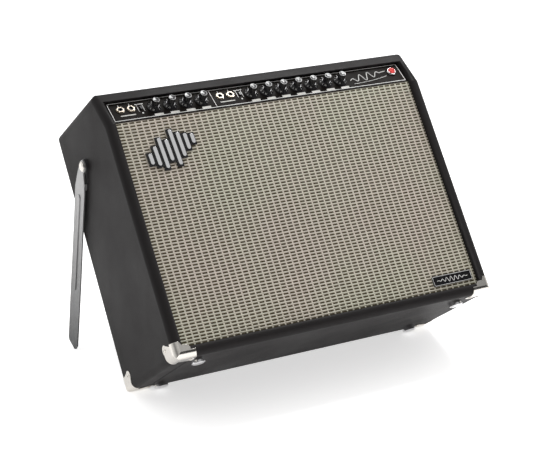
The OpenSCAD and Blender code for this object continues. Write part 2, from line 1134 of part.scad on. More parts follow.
// All the oval head screws of the corners, the handle and the back panels
module case_screws() {
  back_rows = [34, 152, 338, 418];
  color([0.8, 0.78, 0.74])
    leaned() {
      protector_screw_places()
        case_screw();
      both_sides()
        for (z = back_rows)
          translate([panel_screw_side, half_d - 1.5, z])
            rotate([-90, 0, 0])
              case_screw();
      both_sides()
        for (y = [-11, 11])
          translate([handle_length / 2 + 7, handle_middle + y, cab_height + 1.2])
            case_screw();
      both_sides()
        for (end = [-1, 1])
          translate([strap_side, bolt_middle + end * 68, cab_height + strap_sheet])
            case_screw();
    }
}

glide_front = 46;
glide_back = 33;

module glide_places() {
  both_sides() {
    translate([glide_side, -half_d + glide_front, 0])
      children();
    translate([glide_side, half_d - glide_back, 0])
      children();
  }
}

// Chromed domed feet under the cabinet
module glides() {
  color([0.88, 0.88, 0.9])
    leaned()
      glide_places() {
        translate([0, 0, -glide_height + 2])
          cylinder(r = glide_radius, h = glide_height - 2);
        translate([0, 0, -glide_height])
          cylinder(r1 = glide_radius - 4, r2 = glide_radius, h = 2);
        cylinder(r = 2, h = 14);
      }
}

handle_middle = 25;
handle_rise = 17;
strap_thick = 6;

// Moulded strap with a flat steel core, running from cap to cap
module handle_strap() {
  run = handle_length / 2 - 14;
  flat = 20;
  bend = 46;
  color([0.06, 0.06, 0.06])
    leaned()
      translate([0, handle_middle + strap_width / 2, cab_height])
        rotate([90, 0, 0])
          linear_extrude(height = strap_width)
            polygon([
              [-run, 1], [-run + flat, 1.2], [-run + bend, handle_rise],
              [run - bend, handle_rise], [run - flat, 1.2], [run, 1],
              [run, 1 + strap_thick], [run - flat - 2, 1.2 + strap_thick],
              [run - bend, handle_rise + strap_thick],
              [-run + bend, handle_rise + strap_thick], [-run + flat + 2, 1.2 + strap_thick],
              [-run, 1 + strap_thick]
            ]);
}

// Pressed nickel caps that hold the ends of the strap
module handle_caps() {
  color([0.86, 0.84, 0.8])
    leaned()
      both_sides()
        translate([handle_length / 2 - 17, handle_middle, cab_height])
          difference() {
            union() {
              block([-16, -19, 0], [30, 19, 1.2]);
              block([-13, -17, 0], [10, 17, 10]);
              translate([10, 0, 0])
                rotate([90, 0, 0])
                  cylinder(r = 10, h = 34, center = true);
            }
            block([-20, -strap_width / 2 - 0.4, -1], [8, strap_width / 2 + 0.4, 8.4]);
            block([-20, -30, -20], [30, 30, 0]);
            for (y = [-11, 11])
              translate([24, y, -1])
                cylinder(r = screw_hole, h = 4);
          }
}

strap_side = 288;
strap_sheet = 1.6;
bolt_middle = 30;

module bolt_places() {
  both_sides()
    for (end = [-1, 1])
      translate([strap_side, bolt_middle + end * 44, cab_height])
        children();
}

// Nickel plated straps on top, which spread the load of the chassis bolts
module chassis_straps() {
  color([0.86, 0.84, 0.8])
    leaned()
      both_sides()
        translate([strap_side, bolt_middle, cab_height])
          difference() {
            rotate([0, 0, 90])
              round_bar(154, 18, strap_sheet);
            for (end = [-1, 1]) {
              translate([0, end * 44, -1])
                cylinder(r = 2.7, h = 5);
              translate([0, end * 68, -1])
                cylinder(r = screw_hole, h = 5);
            }
          }
}

module chassis_bolts() {
  color([0.8, 0.79, 0.77])
    leaned()
      bolt_places() {
        translate([0, 0, strap_sheet])
          cylinder(r = 5.2, h = 1.2);
        translate([0, 0, strap_sheet + 1.2])
          cylinder(r1 = 5.2, r2 = 3.4, h = 1.6);
        translate([0, 0, -28])
          cylinder(r = 2.5, h = 30);
        translate([0, 0, -25.2])
          cylinder(r = 5.6, h = 4, $fn = 6);
      }
}

// ---------- back ----------

module back_panel(low, high) {
  leaned()
    difference() {
      block([-inner_x + 1, half_d - 11, low], [inner_x - 1, half_d - 1.5, high]);
      both_sides()
        for (z = [34, 152, 338, 418])
          translate([panel_screw_side, half_d - 20, z])
            rotate([-90, 0, 0])
              cylinder(r = 1.9, h = 30);
    }
}

module upper_back_panel() {
  color([0.1, 0.1, 0.1])
    back_panel(316, chassis_floor - 3);
}

module lower_back_panel() {
  color([0.1, 0.1, 0.1])
    back_panel(board + 1, 168);
}

// ---------- speakers ----------

module bolt_circle() {
  for (turn = [22.5:45:360])
    rotate([0, 0, turn])
      translate([frame_radius - 6.5, 0, 0])
        children();
}

// Pressed steel baskets
module speaker_frames() {
  back = 84;
  color([0.08, 0.08, 0.09])
    leaned()
      for (side = [-1, 1])
        at_speaker(side)
          difference() {
            rotate_extrude($fn = 96)
              polygon([
                [opening_radius - 2, 0], [frame_radius, 0], [frame_radius, 2],
                [opening_radius, 2], [opening_radius - 8, 22], [62, back - 2],
                [62, back], [27, back], [27, back - 1.8], [60, back - 1.8],
                [opening_radius - 10.2, 21], [opening_radius - 3, 1.8]
              ]);
            bolt_circle()
              translate([0, 0, -1])
                cylinder(r = 2.6, h = 5);
            for (turn = [0:60:300])
              rotate([0, 0, turn])
                translate([98, 0, 24])
                  cylinder(r = 27, h = 50);
          }
}

// Neodymium magnets with their covers, top plates and centre poles
module speaker_magnets() {
  color([0.12, 0.12, 0.13])
    leaned()
      for (side = [-1, 1])
        at_speaker(side) {
          difference() {
            translate([0, 0, 84])
              cylinder(r = 56, h = 34);
            translate([0, 0, 83])
              cylinder(r = coil_radius + 1.2, h = 22);
            translate([0, 0, 117])
              ring(53, 40, 4);
          }
          translate([0, 0, 84])
            cylinder(r = coil_radius - 1, h = 22);
        }
}

// Folded surrounds and corrugated spiders, at their rest shape
module speaker_suspensions() {
  color([0.14, 0.13, 0.12])
    leaned()
      for (side = [-1, 1])
        at_speaker(side) {
          rotate_extrude($fn = 96)
            polygon([
              [cone_radius + 0.4, 2.2], [cone_radius + 4, 4.2], [cone_radius + 7, 1.4],
              [cone_radius + 10, 2.6], [opening_radius - 4.4, 2.2], [opening_radius - 4.4, 3.2],
              [cone_radius + 10, 3.8], [cone_radius + 7, 2.6], [cone_radius + 4, 5.4],
              [cone_radius + 0.4, 3.4]
            ]);
          rotate_extrude($fn = 72)
            polygon([
              [coil_radius + 1, 73], [32, 74.6], [38, 72], [44, 74.6], [50, 72], [58, 75],
              [58, 81.9], [57, 81.9], [57, 75.8], [50, 73.2], [44, 75.8], [38, 73.2],
              [32, 75.8], [coil_radius + 1, 74.2]
            ]);
        }
}

// Paper cone with its dust cap and voice coil former
module speaker_cone(side) {
  color([0.16, 0.15, 0.14])
    leaned()
      at_speaker(side)
        rotate_extrude($fn = 96)
          polygon([
            [0, 52], [14, 54], [28, 60], [31, 62], [cone_radius - 4, 5.4], [cone_radius, 2.2],
            [cone_radius, 3.6], [cone_radius - 3.4, 6.6], [32.4, 63.6], [coil_radius + 0.4, 66],
            [coil_radius + 0.4, 92], [coil_radius - 0.2, 92], [coil_radius - 0.2, 61],
            [14, 55.4], [0, 53.4]
          ]);
}

module left_speaker_cone() {
  speaker_cone(-1);
}

module right_speaker_cone() {
  speaker_cone(1);
}

module speaker_bolts() {
  color([0.3, 0.3, 0.3])
    leaned()
      for (side = [-1, 1])
        at_speaker(side)
          bolt_circle() {
            translate([0, 0, -baffle + 1])
              cylinder(r = 2.4, h = baffle + 8);
            translate([0, 0, 2])
              ring(4.6, 2.45, 3.6, $fn = 6);
          }
}

// Twin lead from the chassis to the terminals of both speakers
module speaker_leads() {
  color([0.3, 0.04, 0.04])
    leaned()
      front_frame()
        for (side = [-1, 1])
          for (wire = [-2.2, 2.2])
            translate([side * 62 + wire, 112, 0]) {
              translate([0, 0, speaker_height])
                cylinder(r = 1.4, h = 222, $fn = 20);
              translate([0, 0, speaker_height])
                rotate([0, side * 90, 0])
                  cylinder(r = 1.4, h = 36 - side * wire, $fn = 20);
            }
}

// ---------- legs ----------

// Steel spacer plate with a stop stud, fixed to the cabinet side under each leg
module leg_brackets() {
  color([0.1, 0.1, 0.1])
    leaned()
      for (side = [-1, 1])
        at_leg(side)
          translate([0, 0, half_w]) {
            difference() {
              union() {
                cylinder(r = 13, h = leg_gap - 0.1);
                translate([stop_along / 2, stop_side / 2, 0])
                  rotate([0, 0, atan2(stop_side, stop_along)])
                    round_bar(stop_along + 16, 16, 1.2);
                translate([stop_along, stop_side, 0])
                  cylinder(r = 4, h = leg_gap - 0.4);
              }
              translate([0, 0, -1])
                cylinder(r = pivot_radius + 0.2, h = leg_gap + 2);
            }
          }
}

module leg_pivot_bolts() {
  color([0.82, 0.8, 0.75])
    leaned()
      for (side = [-1, 1])
        at_leg(side) {
          translate([0, 0, half_w - board - 1])
            cylinder(r = pivot_radius, h = board + leg_gap + leg_sheet + 2);
          translate([0, 0, leg_face + leg_sheet + 0.2])
            cylinder(r = 9.5, h = 1.8);
          translate([0, 0, leg_face + leg_sheet + 2])
            cylinder(r1 = 9.5, r2 = 6.5, h = 2);
          translate([0, 0, inner_x - 5])
            cylinder(r = 7.5, h = 4.8, $fn = 6);
        }
}

// Flat outline of a leg, from the pivot at the origin to the toe
module leg_outline() {
  rear = leg_width * 0.53;
  front = rear - leg_width;
  polygon([
    [-5, 11], [21, 20], [55, rear + 4.5], [103, rear + 2.5], [190, rear],
    [303, rear - 2], [leg_reach - 10, rear - 5], [leg_reach - 4, rear - 9],
    [leg_reach, toe_side], [leg_reach - 3, toe_side - 5], [leg_reach - 14, front - 3.5],
    [345, front - 3], [244, front - 1], [147, front + 2.5], [88, front + 4.5],
    [49, front + 5.5], [31, -10.5], [9, -4]
  ]);
  circle(r = 11.5);
}

// Stamped steel leg with a stiffening rib, two dimples and a bent stop tab
module leg(side) {
  rib_start = 64;
  rib_end = 272;
  rib_width = 12;
  color([0.55, 0.56, 0.57])
    leaned()
      at_leg(side)
        translate([0, 0, leg_face])
          difference() {
            union() {
              linear_extrude(height = leg_sheet)
                leg_outline();
              translate([(rib_start + rib_end) / 2, 5.5, leg_sheet - 0.5])
                rotate([0, 0, -1.2])
                  round_bar(rib_end - rib_start, rib_width, 2);
              block([32, -12.3, -3.6], [45, -9.8, 1]);
            }
            translate([(rib_start + rib_end) / 2, 5.5, -1])
              rotate([0, 0, -1.2])
                round_bar(rib_end - rib_start - 5, rib_width - 5, 3.2);
            translate([0, 0, -1])
              cylinder(r = pivot_radius + running_gap, h = 10);
          }
}

module left_leg() {
  leg(-1);
}

module right_leg() {
  leg(1);
}

// ---------- drawing ----------

left_side_board();
right_side_board();
top_board();
bottom_board();
vinyl_covering();
cleats();
baffle_board();
grille_cloth();
emblem_backing();
emblem_bars();
name_plate();
chassis();
control_panel();
input_jacks();
panel_nuts();
potentiometers();
switch_frames();
lamp_holder();
lamp_jewel();
circuit_boards();
power_supply();
mains_inlet();
rear_sockets();
corner_protectors();
case_screws();
glides();
handle_strap();
handle_caps();
chassis_straps();
chassis_bolts();
upper_back_panel();
lower_back_panel();
speaker_frames();
speaker_magnets();
speaker_suspensions();
speaker_bolts();
speaker_leads();
leg_brackets();
leg_pivot_bolts();
knob_01();
knob_02();
knob_03();
knob_04();
knob_05();
knob_06();
knob_07();
knob_08();
knob_09();
knob_10();
knob_11();
left_bright_slider();
right_bright_slider();
left_leg();
right_leg();
left_speaker_cone();
right_speaker_cone();
power_rocker();
mute_toggle();
power_selector_knob();
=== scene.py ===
import json
import math

import bmesh
import bpy
import numpy as np
from mathutils import Matrix, Vector


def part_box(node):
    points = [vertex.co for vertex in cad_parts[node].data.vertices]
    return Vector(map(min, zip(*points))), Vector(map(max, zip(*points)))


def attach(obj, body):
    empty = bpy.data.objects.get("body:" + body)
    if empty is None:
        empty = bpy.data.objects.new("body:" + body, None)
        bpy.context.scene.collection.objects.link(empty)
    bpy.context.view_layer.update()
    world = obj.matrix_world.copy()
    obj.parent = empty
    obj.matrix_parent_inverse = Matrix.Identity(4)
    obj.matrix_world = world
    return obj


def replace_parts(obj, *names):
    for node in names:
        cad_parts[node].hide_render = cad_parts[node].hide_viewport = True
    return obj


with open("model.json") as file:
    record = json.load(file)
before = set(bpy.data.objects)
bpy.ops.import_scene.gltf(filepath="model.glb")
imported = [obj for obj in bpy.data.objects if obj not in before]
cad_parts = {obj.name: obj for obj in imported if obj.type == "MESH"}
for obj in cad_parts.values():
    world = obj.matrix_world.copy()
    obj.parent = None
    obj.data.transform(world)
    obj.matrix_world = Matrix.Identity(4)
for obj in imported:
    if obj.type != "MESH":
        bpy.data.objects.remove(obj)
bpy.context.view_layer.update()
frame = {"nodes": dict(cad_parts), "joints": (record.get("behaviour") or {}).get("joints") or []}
NODES = frame["nodes"]
JOINTS = {j["name"]: j for j in frame["joints"]}
MM = 0.001

# ---------- frames, taken from the record's joints ----------


def basis(origin, up, out):
    """Matrix of a frame whose X is the amplifier's, with the given up as Y and out as Z."""
    x = Vector((1, 0, 0))
    m = Matrix((x, Vector(up).normalized(), Vector(out).normalized())).transposed().to_4x4()
    m.translation = Vector(origin)
    return m


# The cabinet's sizes in mm, as in the part's source; front_y below gives the shape of its front
W, H, D = 663.0, 508.0, 267.0
BOARD, ROUND = 19.0, 12.0
BREAK_Z, BREAK_Y, TOP_Y = 438.0, 17.5, 49.5
INNER_X = W / 2 - BOARD
PIVOT_BACK, PIVOT_HEIGHT = 25.0, 411.0
FRONT_TILT = math.atan(BREAK_Y / BREAK_Z)
SLOPE_TILT = math.atan((TOP_Y - BREAK_Y) / (H - BREAK_Z))
RECESS, CLOTH, BAFFLE = 10.0, 1.2, 12.7
KNOB_V, JACK_V = 33.0, 37.0
KNOBS = ["knob_%02d" % i for i in range(1, 12)]

# The upright cabinet's frame: x right, y back, z up, origin below its middle
rear_out = Vector(JOINTS["power_selector_turn"]["axis"])
lean = math.atan2(-rear_out.z, rear_out.y)
cab_up = Vector((0, math.sin(lean), math.cos(lean)))
pivot = Vector(JOINTS["right_leg_swing"]["pos_m"])
cab_origin = Vector((0, pivot.y, pivot.z)) - (rear_out * PIVOT_BACK + cab_up * PIVOT_HEIGHT) * MM
CAB = Matrix((Vector((1, 0, 0)), rear_out, cab_up)).transposed().to_4x4()
CAB.translation = cab_origin

# The control panel's frame: y up the slope, z out of the panel
knob_axis = Vector(JOINTS["knob_01_turn"]["axis"])
panel_up = Vector(JOINTS["left_bright_slide"]["axis"])
knob_pos = [Vector(JOINTS[k + "_turn"]["pos_m"]) for k in KNOBS]
panel_origin = Vector((0, knob_pos[0].y, knob_pos[0].z)) - panel_up * KNOB_V * MM
PANEL = basis(panel_origin, panel_up, knob_axis)

# The grille's frame: y up the cloth, z out of it
speaker_axis = Vector(JOINTS["left_speaker_excursion"]["axis"])
front_up = Vector((0, -speaker_axis.z, speaker_axis.y))
front_foot = CAB @ Vector((0, -D / 2 * MM, 0))
GRILLE = basis(front_foot + speaker_axis * RECESS * MM, front_up, -speaker_axis)


def on(m, x, y, z=0.0):
    """The point at x, y, z in mm of frame m."""
    return m @ Vector((x * MM, y * MM, z * MM))


def cab(x, y, z):
    return on(CAB, x, y, z)


# ---------- materials ----------


def new_material(name):
    m = bpy.data.materials.new(name)
    m.use_nodes = True
    t = m.node_tree
    return m, t, t.nodes["Principled BSDF"]


def coords(t, scale=(1, 1, 1)):
    c = t.nodes.new("ShaderNodeTexCoord")
    m = t.nodes.new("ShaderNodeMapping")
    m.inputs["Scale"].default_value = scale
    t.links.new(c.outputs["Object"], m.inputs["Vector"])
    return m.outputs["Vector"]


def noise(t, vector, scale, detail=3.0):
    n = t.nodes.new("ShaderNodeTexNoise")
    n.inputs["Scale"].default_value = scale
    n.inputs["Detail"].default_value = detail
    n.inputs["Roughness"].default_value = 0.55
    t.links.new(vector, n.inputs["Vector"])
    return n.outputs["Fac"]


def cells(t, vector, scale):
    n = t.nodes.new("ShaderNodeTexVoronoi")
    n.inputs["Scale"].default_value = scale
    t.links.new(vector, n.inputs["Vector"])
    return n.outputs["Distance"]


def span(t, value, low, high, a=0.0, b=1.0):
    """Maps a value from the range a to b onto the range low to high."""
    n = t.nodes.new("ShaderNodeMapRange")
    n.inputs["From Min"].default_value = a
    n.inputs["From Max"].default_value = b
    n.inputs["To Min"].default_value = low
    n.inputs["To Max"].default_value = high
    t.links.new(value, n.inputs["Value"])
    return n.outputs["Result"]


def mix(t, fac, a, b):
    n = t.nodes.new("ShaderNodeMix")
    n.data_type = "RGBA"
    n.inputs["A"].default_value = (*a, 1)
    n.inputs["B"].default_value = (*b, 1)
    t.links.new(fac, n.inputs["Factor"])
    return n.outputs["Result"]


def multiply(t, a, b):
    n = t.nodes.new("ShaderNodeMix")
    n.data_type = "RGBA"
    n.blend_type = "MULTIPLY"
    n.inputs["Factor"].default_value = 1.0
    t.links.new(a, n.inputs["A"])
    t.links.new(b, n.inputs["B"])
    return n.outputs["Result"]


def bump(t, height, strength, distance, normal=None):
    n = t.nodes.new("ShaderNodeBump")
    n.inputs["Strength"].default_value = strength
    n.inputs["Distance"].default_value = distance
    t.links.new(height, n.inputs["Height"])
    if normal is not None:
        t.links.new(normal, n.inputs["Normal"])
    return n.outputs["Normal"]


def soft_edges(t, radius):
    n = t.nodes.new("ShaderNodeBevel")
    n.samples = 4
    n.inputs["Radius"].default_value = radius
    return n.outputs["Normal"]


def surface(name, colour, rough, metal=0.0, vary=0.12, scale=60.0, stretch=(1, 1, 1), grain=0.0,
            grain_scale=400.0, edge=0.0, sheen=0.0, spec=0.5):
    """General procedural finish: mottled colour, uneven gloss and a fine grain."""
    m, t, b = new_material(name)
    v = coords(t, stretch)
    fac = noise(t, v, scale)
    dark = tuple(c * (1 - vary) for c in colour)
    light = tuple(min(1, c * (1 + vary)) for c in colour)
    t.links.new(mix(t, fac, dark, light), b.inputs["Base Color"])
    smooth, dull = max(0.02, rough * 0.85), min(1, rough * 1.15)
    t.links.new(span(t, fac, smooth, dull, 0.3, 0.7), b.inputs["Roughness"])
    b.inputs["Metallic"].default_value = metal
    b.inputs["Specular IOR Level"].default_value = spec
    b.inputs["Sheen Weight"].default_value = sheen
    normal = soft_edges(t, edge) if edge else None
    if grain:
        normal = bump(t, noise(t, v, grain_scale, 2.0), grain, 0.0004, normal)
    if normal is not None:
        t.links.new(normal, b.inputs["Normal"])
    return m


def vinyl_material():
    m, t, b = new_material("vinyl_grain")
    v = coords(t)
    pebble = cells(t, v, 900.0)
    broad = noise(t, v, 9.0, 4.0)
    t.links.new(mix(t, broad, (0.0150, 0.0136, 0.0138), (0.0215, 0.0196, 0.0198)), b.inputs["Base Color"])
    t.links.new(span(t, broad, 0.42, 0.56, 0.3, 0.7), b.inputs["Roughness"])
    b.inputs["Specular IOR Level"].default_value = 0.10
    first = bump(t, pebble, 0.35, 0.0004)
    t.links.new(bump(t, noise(t, v, 34.0, 2.0), 0.10, 0.002, first), b.inputs["Normal"])
    return m


def cloth_material(name, light, dark, rough, spec, sheen):
    """Spun plastic strand: fine twist along the rows and slow changes of tint."""
    m, t, b = new_material(name)
    v = coords(t)
    fine = coords(t, (260, 1400, 1400))
    tint = noise(t, v, 5.0, 3.0)
    strand = noise(t, fine, 1.0, 2.0)
    base = mix(t, span(t, strand, 0, 1, 0.25, 0.75), light, dark)
    warm_to_green = mix(t, span(t, tint, 0, 1, 0.38, 0.62), (1.0, 0.95, 0.955), (0.95, 0.99, 0.925))
    t.links.new(multiply(t, base, warm_to_green), b.inputs["Base Color"])
    b.inputs["Roughness"].default_value = rough
    b.inputs["Specular IOR Level"].default_value = spec
    b.inputs["Sheen Weight"].default_value = sheen
    t.links.new(bump(t, strand, 0.45, 0.0003), b.inputs["Normal"])
    return m


def wood_material(name, light, dark):
    m, t, b = new_material(name)
    v = coords(t, (1.5, 14, 14))
    w = t.nodes.new("ShaderNodeTexWave")
    w.inputs["Scale"].default_value = 2.2
    w.inputs["Distortion"].default_value = 7.0
    w.inputs["Detail"].default_value = 3.0
    t.links.new(v, w.inputs["Vector"])
    t.links.new(mix(t, w.outputs["Fac"], dark, light), b.inputs["Base Color"])
    b.inputs["Roughness"].default_value = 0.62
    t.links.new(bump(t, w.outputs["Fac"], 0.12, 0.0005), b.inputs["Normal"])
    return m


def jewel_material():
    m, t, b = new_material("red_jewel")
    v = coords(t)
    glow = cells(t, v, 260.0)
    t.links.new(mix(t, glow, (0.80, 0.13, 0.12), (0.50, 0.02, 0.025)), b.inputs["Base Color"])
    b.inputs["Roughness"].default_value = 0.06
    b.inputs["Transmission Weight"].default_value = 0.35
    b.inputs["IOR"].default_value = 1.5
    b.inputs["Emission Color"].default_value = (0.9, 0.08, 0.07, 1)
    b.inputs["Emission Strength"].default_value = 0.15
    t.links.new(bump(t, glow, 0.3, 0.0006), b.inputs["Normal"])
    return m


def leg_material():
    """Galvanised steel, brushed along its length, with painted shade that darkens it towards the toe."""
    m, t, b = new_material("galvanised_leg_painted_shade")
    v = coords(t)
    up = t.nodes.new("ShaderNodeSeparateXYZ")
    t.links.new(v, up.inputs["Vector"])
    streak = noise(t, coords(t, (40, 260, 9)), 1.0, 4.0)
    flake = cells(t, v, 160.0)
    # Painted shade: grey high on the leg fading to near black at the toe, in place of the darker reflection
    # low down
    high = span(t, up.outputs["Z"], 0.0, 1.0, 0.02, 0.36)
    base = mix(t, high, (0.085, 0.086, 0.088), (0.44, 0.44, 0.44))
    streaks = mix(t, streak, (0.72, 0.72, 0.72), (1.2, 1.2, 1.2))
    t.links.new(multiply(t, base, streaks), b.inputs["Base Color"])
    t.links.new(span(t, flake, 0.36, 0.5), b.inputs["Roughness"])
    b.inputs["Metallic"].default_value = 1.0
    t.links.new(bump(t, streak, 0.25, 0.0004, soft_edges(t, 0.0007)), b.inputs["Normal"])
    return m


STRAND_LIGHT = ((0.60, 0.57, 0.485), (0.42, 0.39, 0.32))
STRAND_DARK = ((0.036, 0.027, 0.013), (0.085, 0.066, 0.036))
BRUSHED = (1, 40, 40)
MAT = {
    "vinyl": vinyl_material(),
    "strand_light": cloth_material("strand_light", *STRAND_LIGHT, 0.45, 0.4, 0.25),
    "strand_dark": cloth_material("strand_dark", *STRAND_DARK, 0.5, 0.2, 0.05),
    "pine": wood_material("pine", (0.62, 0.44, 0.25), (0.40, 0.25, 0.12)),
    "plywood": wood_material("plywood_dark", (0.06, 0.055, 0.05), (0.03, 0.028, 0.026)),
    "jewel": jewel_material(),
    "leg": leg_material(),
    # metals: colour, roughness, metal, mottle and its scale
    "nickel": surface("nickel_plate", (0.80, 0.77, 0.72), 0.16, 1.0, 0.05, 90, grain=0.05, edge=0.0006),
    "plated_nut": surface("plated_nut", (0.50, 0.44, 0.36), 0.34, 1.0, 0.1, 90, grain=0.1, edge=0.0004),
    "chrome": surface("chrome_plate", (0.86, 0.86, 0.87), 0.08, 1.0, 0.03, 90, edge=0.0005),
    "zinc": surface("zinc_plate", (0.55, 0.55, 0.53), 0.32, 1.0, 0.12, 120, grain=0.1, edge=0.0003),
    "aluminium": surface(
        "folded_aluminium", (0.60, 0.61, 0.62), 0.36, 1.0, 0.08, 8, BRUSHED, grain=0.1, edge=0.0006),
    # painted and moulded surfaces: colour, roughness, metal, mottle and its scale
    "gloss_black": surface(
        "gloss_black", (0.012, 0.012, 0.013), 0.16, 0.0, 0.2, 120, grain=0.04, edge=0.0004),
    "panel_black": surface(
        "panel_black", (0.0085, 0.0065, 0.0052), 0.5, 0.0, 0.25, 50, grain=0.06, spec=0.05),
    "plate_black": surface("plate_black", (0.008, 0.008, 0.009), 0.4, 0.0, 0.2, 90, grain=0.1, spec=0.12),
    "satin_black": surface("satin_black", (0.02, 0.02, 0.021), 0.42, 0.0, 0.2, 90, grain=0.2),
    "dark_steel": surface(
        "enamelled_steel", (0.025, 0.025, 0.027), 0.35, 0.0, 0.2, 80, grain=0.15, edge=0.0006),
    "mask": surface("solder_mask", (0.02, 0.12, 0.05), 0.3, 0.0, 0.25, 180, grain=0.2),
    "print_white": surface("white_ink", (0.80, 0.80, 0.78), 0.45, 0.0, 0.06, 150, grain=0.1),
    "print_pale": surface("pale_ink", (0.50, 0.49, 0.46), 0.5, 0.0, 0.1, 150, grain=0.1),
    "wire_red": surface("red_insulation", (0.25, 0.015, 0.012), 0.4, 0.0, 0.1, 100, grain=0.1),
    "wire_black": surface("black_insulation", (0.02, 0.02, 0.02), 0.4, 0.0, 0.1, 100, grain=0.1),
    # paper, cloth and rubber: colour, roughness, metal, mottle and its scale
    "paper": surface(
        "cone_paper", (0.045, 0.042, 0.038), 0.85, 0.0, 0.25, 140, grain=0.6, grain_scale=900, sheen=0.2),
    "doped": surface(
        "doped_cloth", (0.035, 0.031, 0.028), 0.6, 0.0, 0.25, 200, grain=0.5, grain_scale=1200, sheen=0.3),
    "strap": surface(
        "moulded_strap", (0.018, 0.018, 0.019), 0.5, 0.0, 0.2, 60, grain=0.5, grain_scale=700, sheen=0.15),
    "thread": surface("stitch_thread", (0.03, 0.03, 0.03), 0.7, 0.0, 0.2, 300, grain=0.4, sheen=0.3),
}

FINISHED = {
    "pine": ["left_side_board", "right_side_board", "top_board", "bottom_board", "cleats"],
    "plywood": ["baffle_board"],
    "aluminium": ["chassis", "power_supply"],
    "panel_black": ["control_panel"],
    "plate_black": ["name_plate"],
    "gloss_black": ["emblem_backing", "left_bright_slider", "right_bright_slider", "power_selector_knob",
                    *KNOBS],
    "satin_black": ["input_jacks", "mains_inlet", "rear_sockets", "power_rocker"],
    "dark_steel": ["speaker_frames", "speaker_magnets", "leg_brackets"],
    "chrome": ["emblem_bars", "lamp_holder", "glides", "mute_toggle"],
    "nickel": ["corner_protectors", "case_screws", "handle_caps", "chassis_straps", "chassis_bolts",
               "leg_pivot_bolts"],
    "plated_nut": ["panel_nuts"],
    "zinc": ["potentiometers", "switch_frames", "speaker_bolts"],
    "mask": ["circuit_boards"],
    "jewel": ["lamp_jewel"],
    "leg": ["left_leg", "right_leg"],
}


def finish_cad():
    """Gives the CAD pieces their finishes, and soft edges to the raised ones on the grille."""
    for key, names in FINISHED.items():
        for name in names:
            materials = NODES[name].data.materials
            materials.clear()
            materials.append(MAT[key])
    for name, width in (("emblem_bars", 1.1), ("emblem_backing", 0.5), ("name_plate", 0.3)):
        soft = NODES[name].modifiers.new("soft_edges", "BEVEL")
        soft.width = width * MM
        soft.segments = 3
        soft.angle_limit = math.radians(40)


finish_cad()

# ---------- mesh helpers ----------


BOX_FACES = [(3, 2, 1, 0), (4, 5, 6, 7), (0, 1, 5, 4), (1, 2, 6, 5), (2, 3, 7, 6), (3, 0, 4, 7)]


def new_mesh(name, verts, faces, key, body="cabinet", smooth=True):
    """A new piece from points in metres, riding the body unless that is None."""
    me = bpy.data.meshes.new(name)
    me.from_pydata([tuple(v) for v in verts], [], [tuple(f) for f in faces])
    me.update()
    me.polygons.foreach_set("use_smooth", [smooth] * len(me.polygons))
    me.materials.append(MAT[key])
    obj = bpy.data.objects.new(name, me)
    bpy.context.scene.collection.objects.link(obj)
    if body:
        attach(obj, body)
    return obj


def tidy_normals(obj):
    bm = bmesh.new()
    bm.from_mesh(obj.data)
    bmesh.ops.recalc_face_normals(bm, faces=bm.faces)
    bm.to_mesh(obj.data)
    bm.free()


def joined(rings):
    """Vertices and faces of a solid with flat ends, from rings with equal numbers of points."""
    n = len(rings[0])
    faces = [(i * n + k, i * n + (k + 1) % n, (i + 1) * n + (k + 1) % n, (i + 1) * n + k)
             for i in range(len(rings) - 1) for k in range(n)]
    last = (len(rings) - 1) * n
    faces += [tuple(range(n))[::-1], tuple(range(last, last + n))]
    return [v for ring in rings for v in ring], faces


class Pile:
    """Collects vertices and faces of several shapes into one piece."""

    def __init__(self):
        self.verts, self.faces = [], []

    def add(self, verts, faces):
        n = len(self.verts)
        self.verts += [Vector(v) for v in verts]
        self.faces += [tuple(i + n for i in f) for f in faces]

    def bar(self, m, x0, y0, x1, y1, z0, z1):
        """A box in frame m, sizes in mm."""
        p = [on(m, x, y, z) for z in (z0, z1) for x, y in ((x0, y0), (x1, y0), (x1, y1), (x0, y1))]
        self.add(p, BOX_FACES)

    def tube(self, points, radius, sides):
        """A closed round cord through points in metres."""
        pts = [Vector(p) for p in points]
        rings = []
        side = None
        for i, p in enumerate(pts):
            d = (pts[min(i + 1, len(pts) - 1)] - pts[max(i - 1, 0)]).normalized()
            if side is None:
                side = Vector((0, 0, 1)) if abs(d.z) < 0.9 else Vector((1, 0, 0))
            side = (side - d * side.dot(d)).normalized()
            other = d.cross(side)
            turns = [2 * math.pi * k / sides for k in range(sides)]
            rings.append([p + (side * math.cos(t) + other * math.sin(t)) * radius for t in turns])
        self.add(*joined(rings))

    def piece(self, name, key, body="cabinet", smooth=False):
        obj = new_mesh(name, self.verts, self.faces, key, body, smooth)
        tidy_normals(obj)
        return obj


def lathe(profile, m, segments, name, key, body):
    """Revolves a closed profile of (radius, height) in mm about the Z axis of frame m."""
    n = len(profile)
    verts, faces = [], []
    for s in range(segments):
        a = 2 * math.pi * s / segments
        verts += [on(m, r * math.cos(a), r * math.sin(a), z) for r, z in profile]
        e = (s + 1) % segments
        faces += [(s * n + i, s * n + (i + 1) % n, e * n + (i + 1) % n, e * n + i) for i in range(n)]
    obj = new_mesh(name, verts, faces, key, body)
    tidy_normals(obj)
    return obj


def bevel(obj, width, segments, by_weight=False):
    b = obj.modifiers.new("round", "BEVEL")
    b.width = width
    b.segments = segments
    b.limit_method = "WEIGHT" if by_weight else "ANGLE"
    b.use_clamp_overlap = False


def apply_modifiers(obj):
    dg = bpy.context.evaluated_depsgraph_get()
    me = bpy.data.meshes.new_from_object(obj.evaluated_get(dg))
    obj.modifiers.clear()
    obj.data = me


# ---------- vinyl covering ----------

LIP_FRONT, LIP_BACK = 14.0, 20.0
FRONT_ROUND, BACK_ROUND = 6.0, 2.0
LIP_STEPS = 6
# The lips stand clear of the boards; the front one is nearly sharp along the acute top edge
LIP_X = INNER_X - 0.5
LIP_FOOT, LIP_HEAD = BOARD + 0.5, H - BOARD - 0.5
HEAD_EASE = 0.15
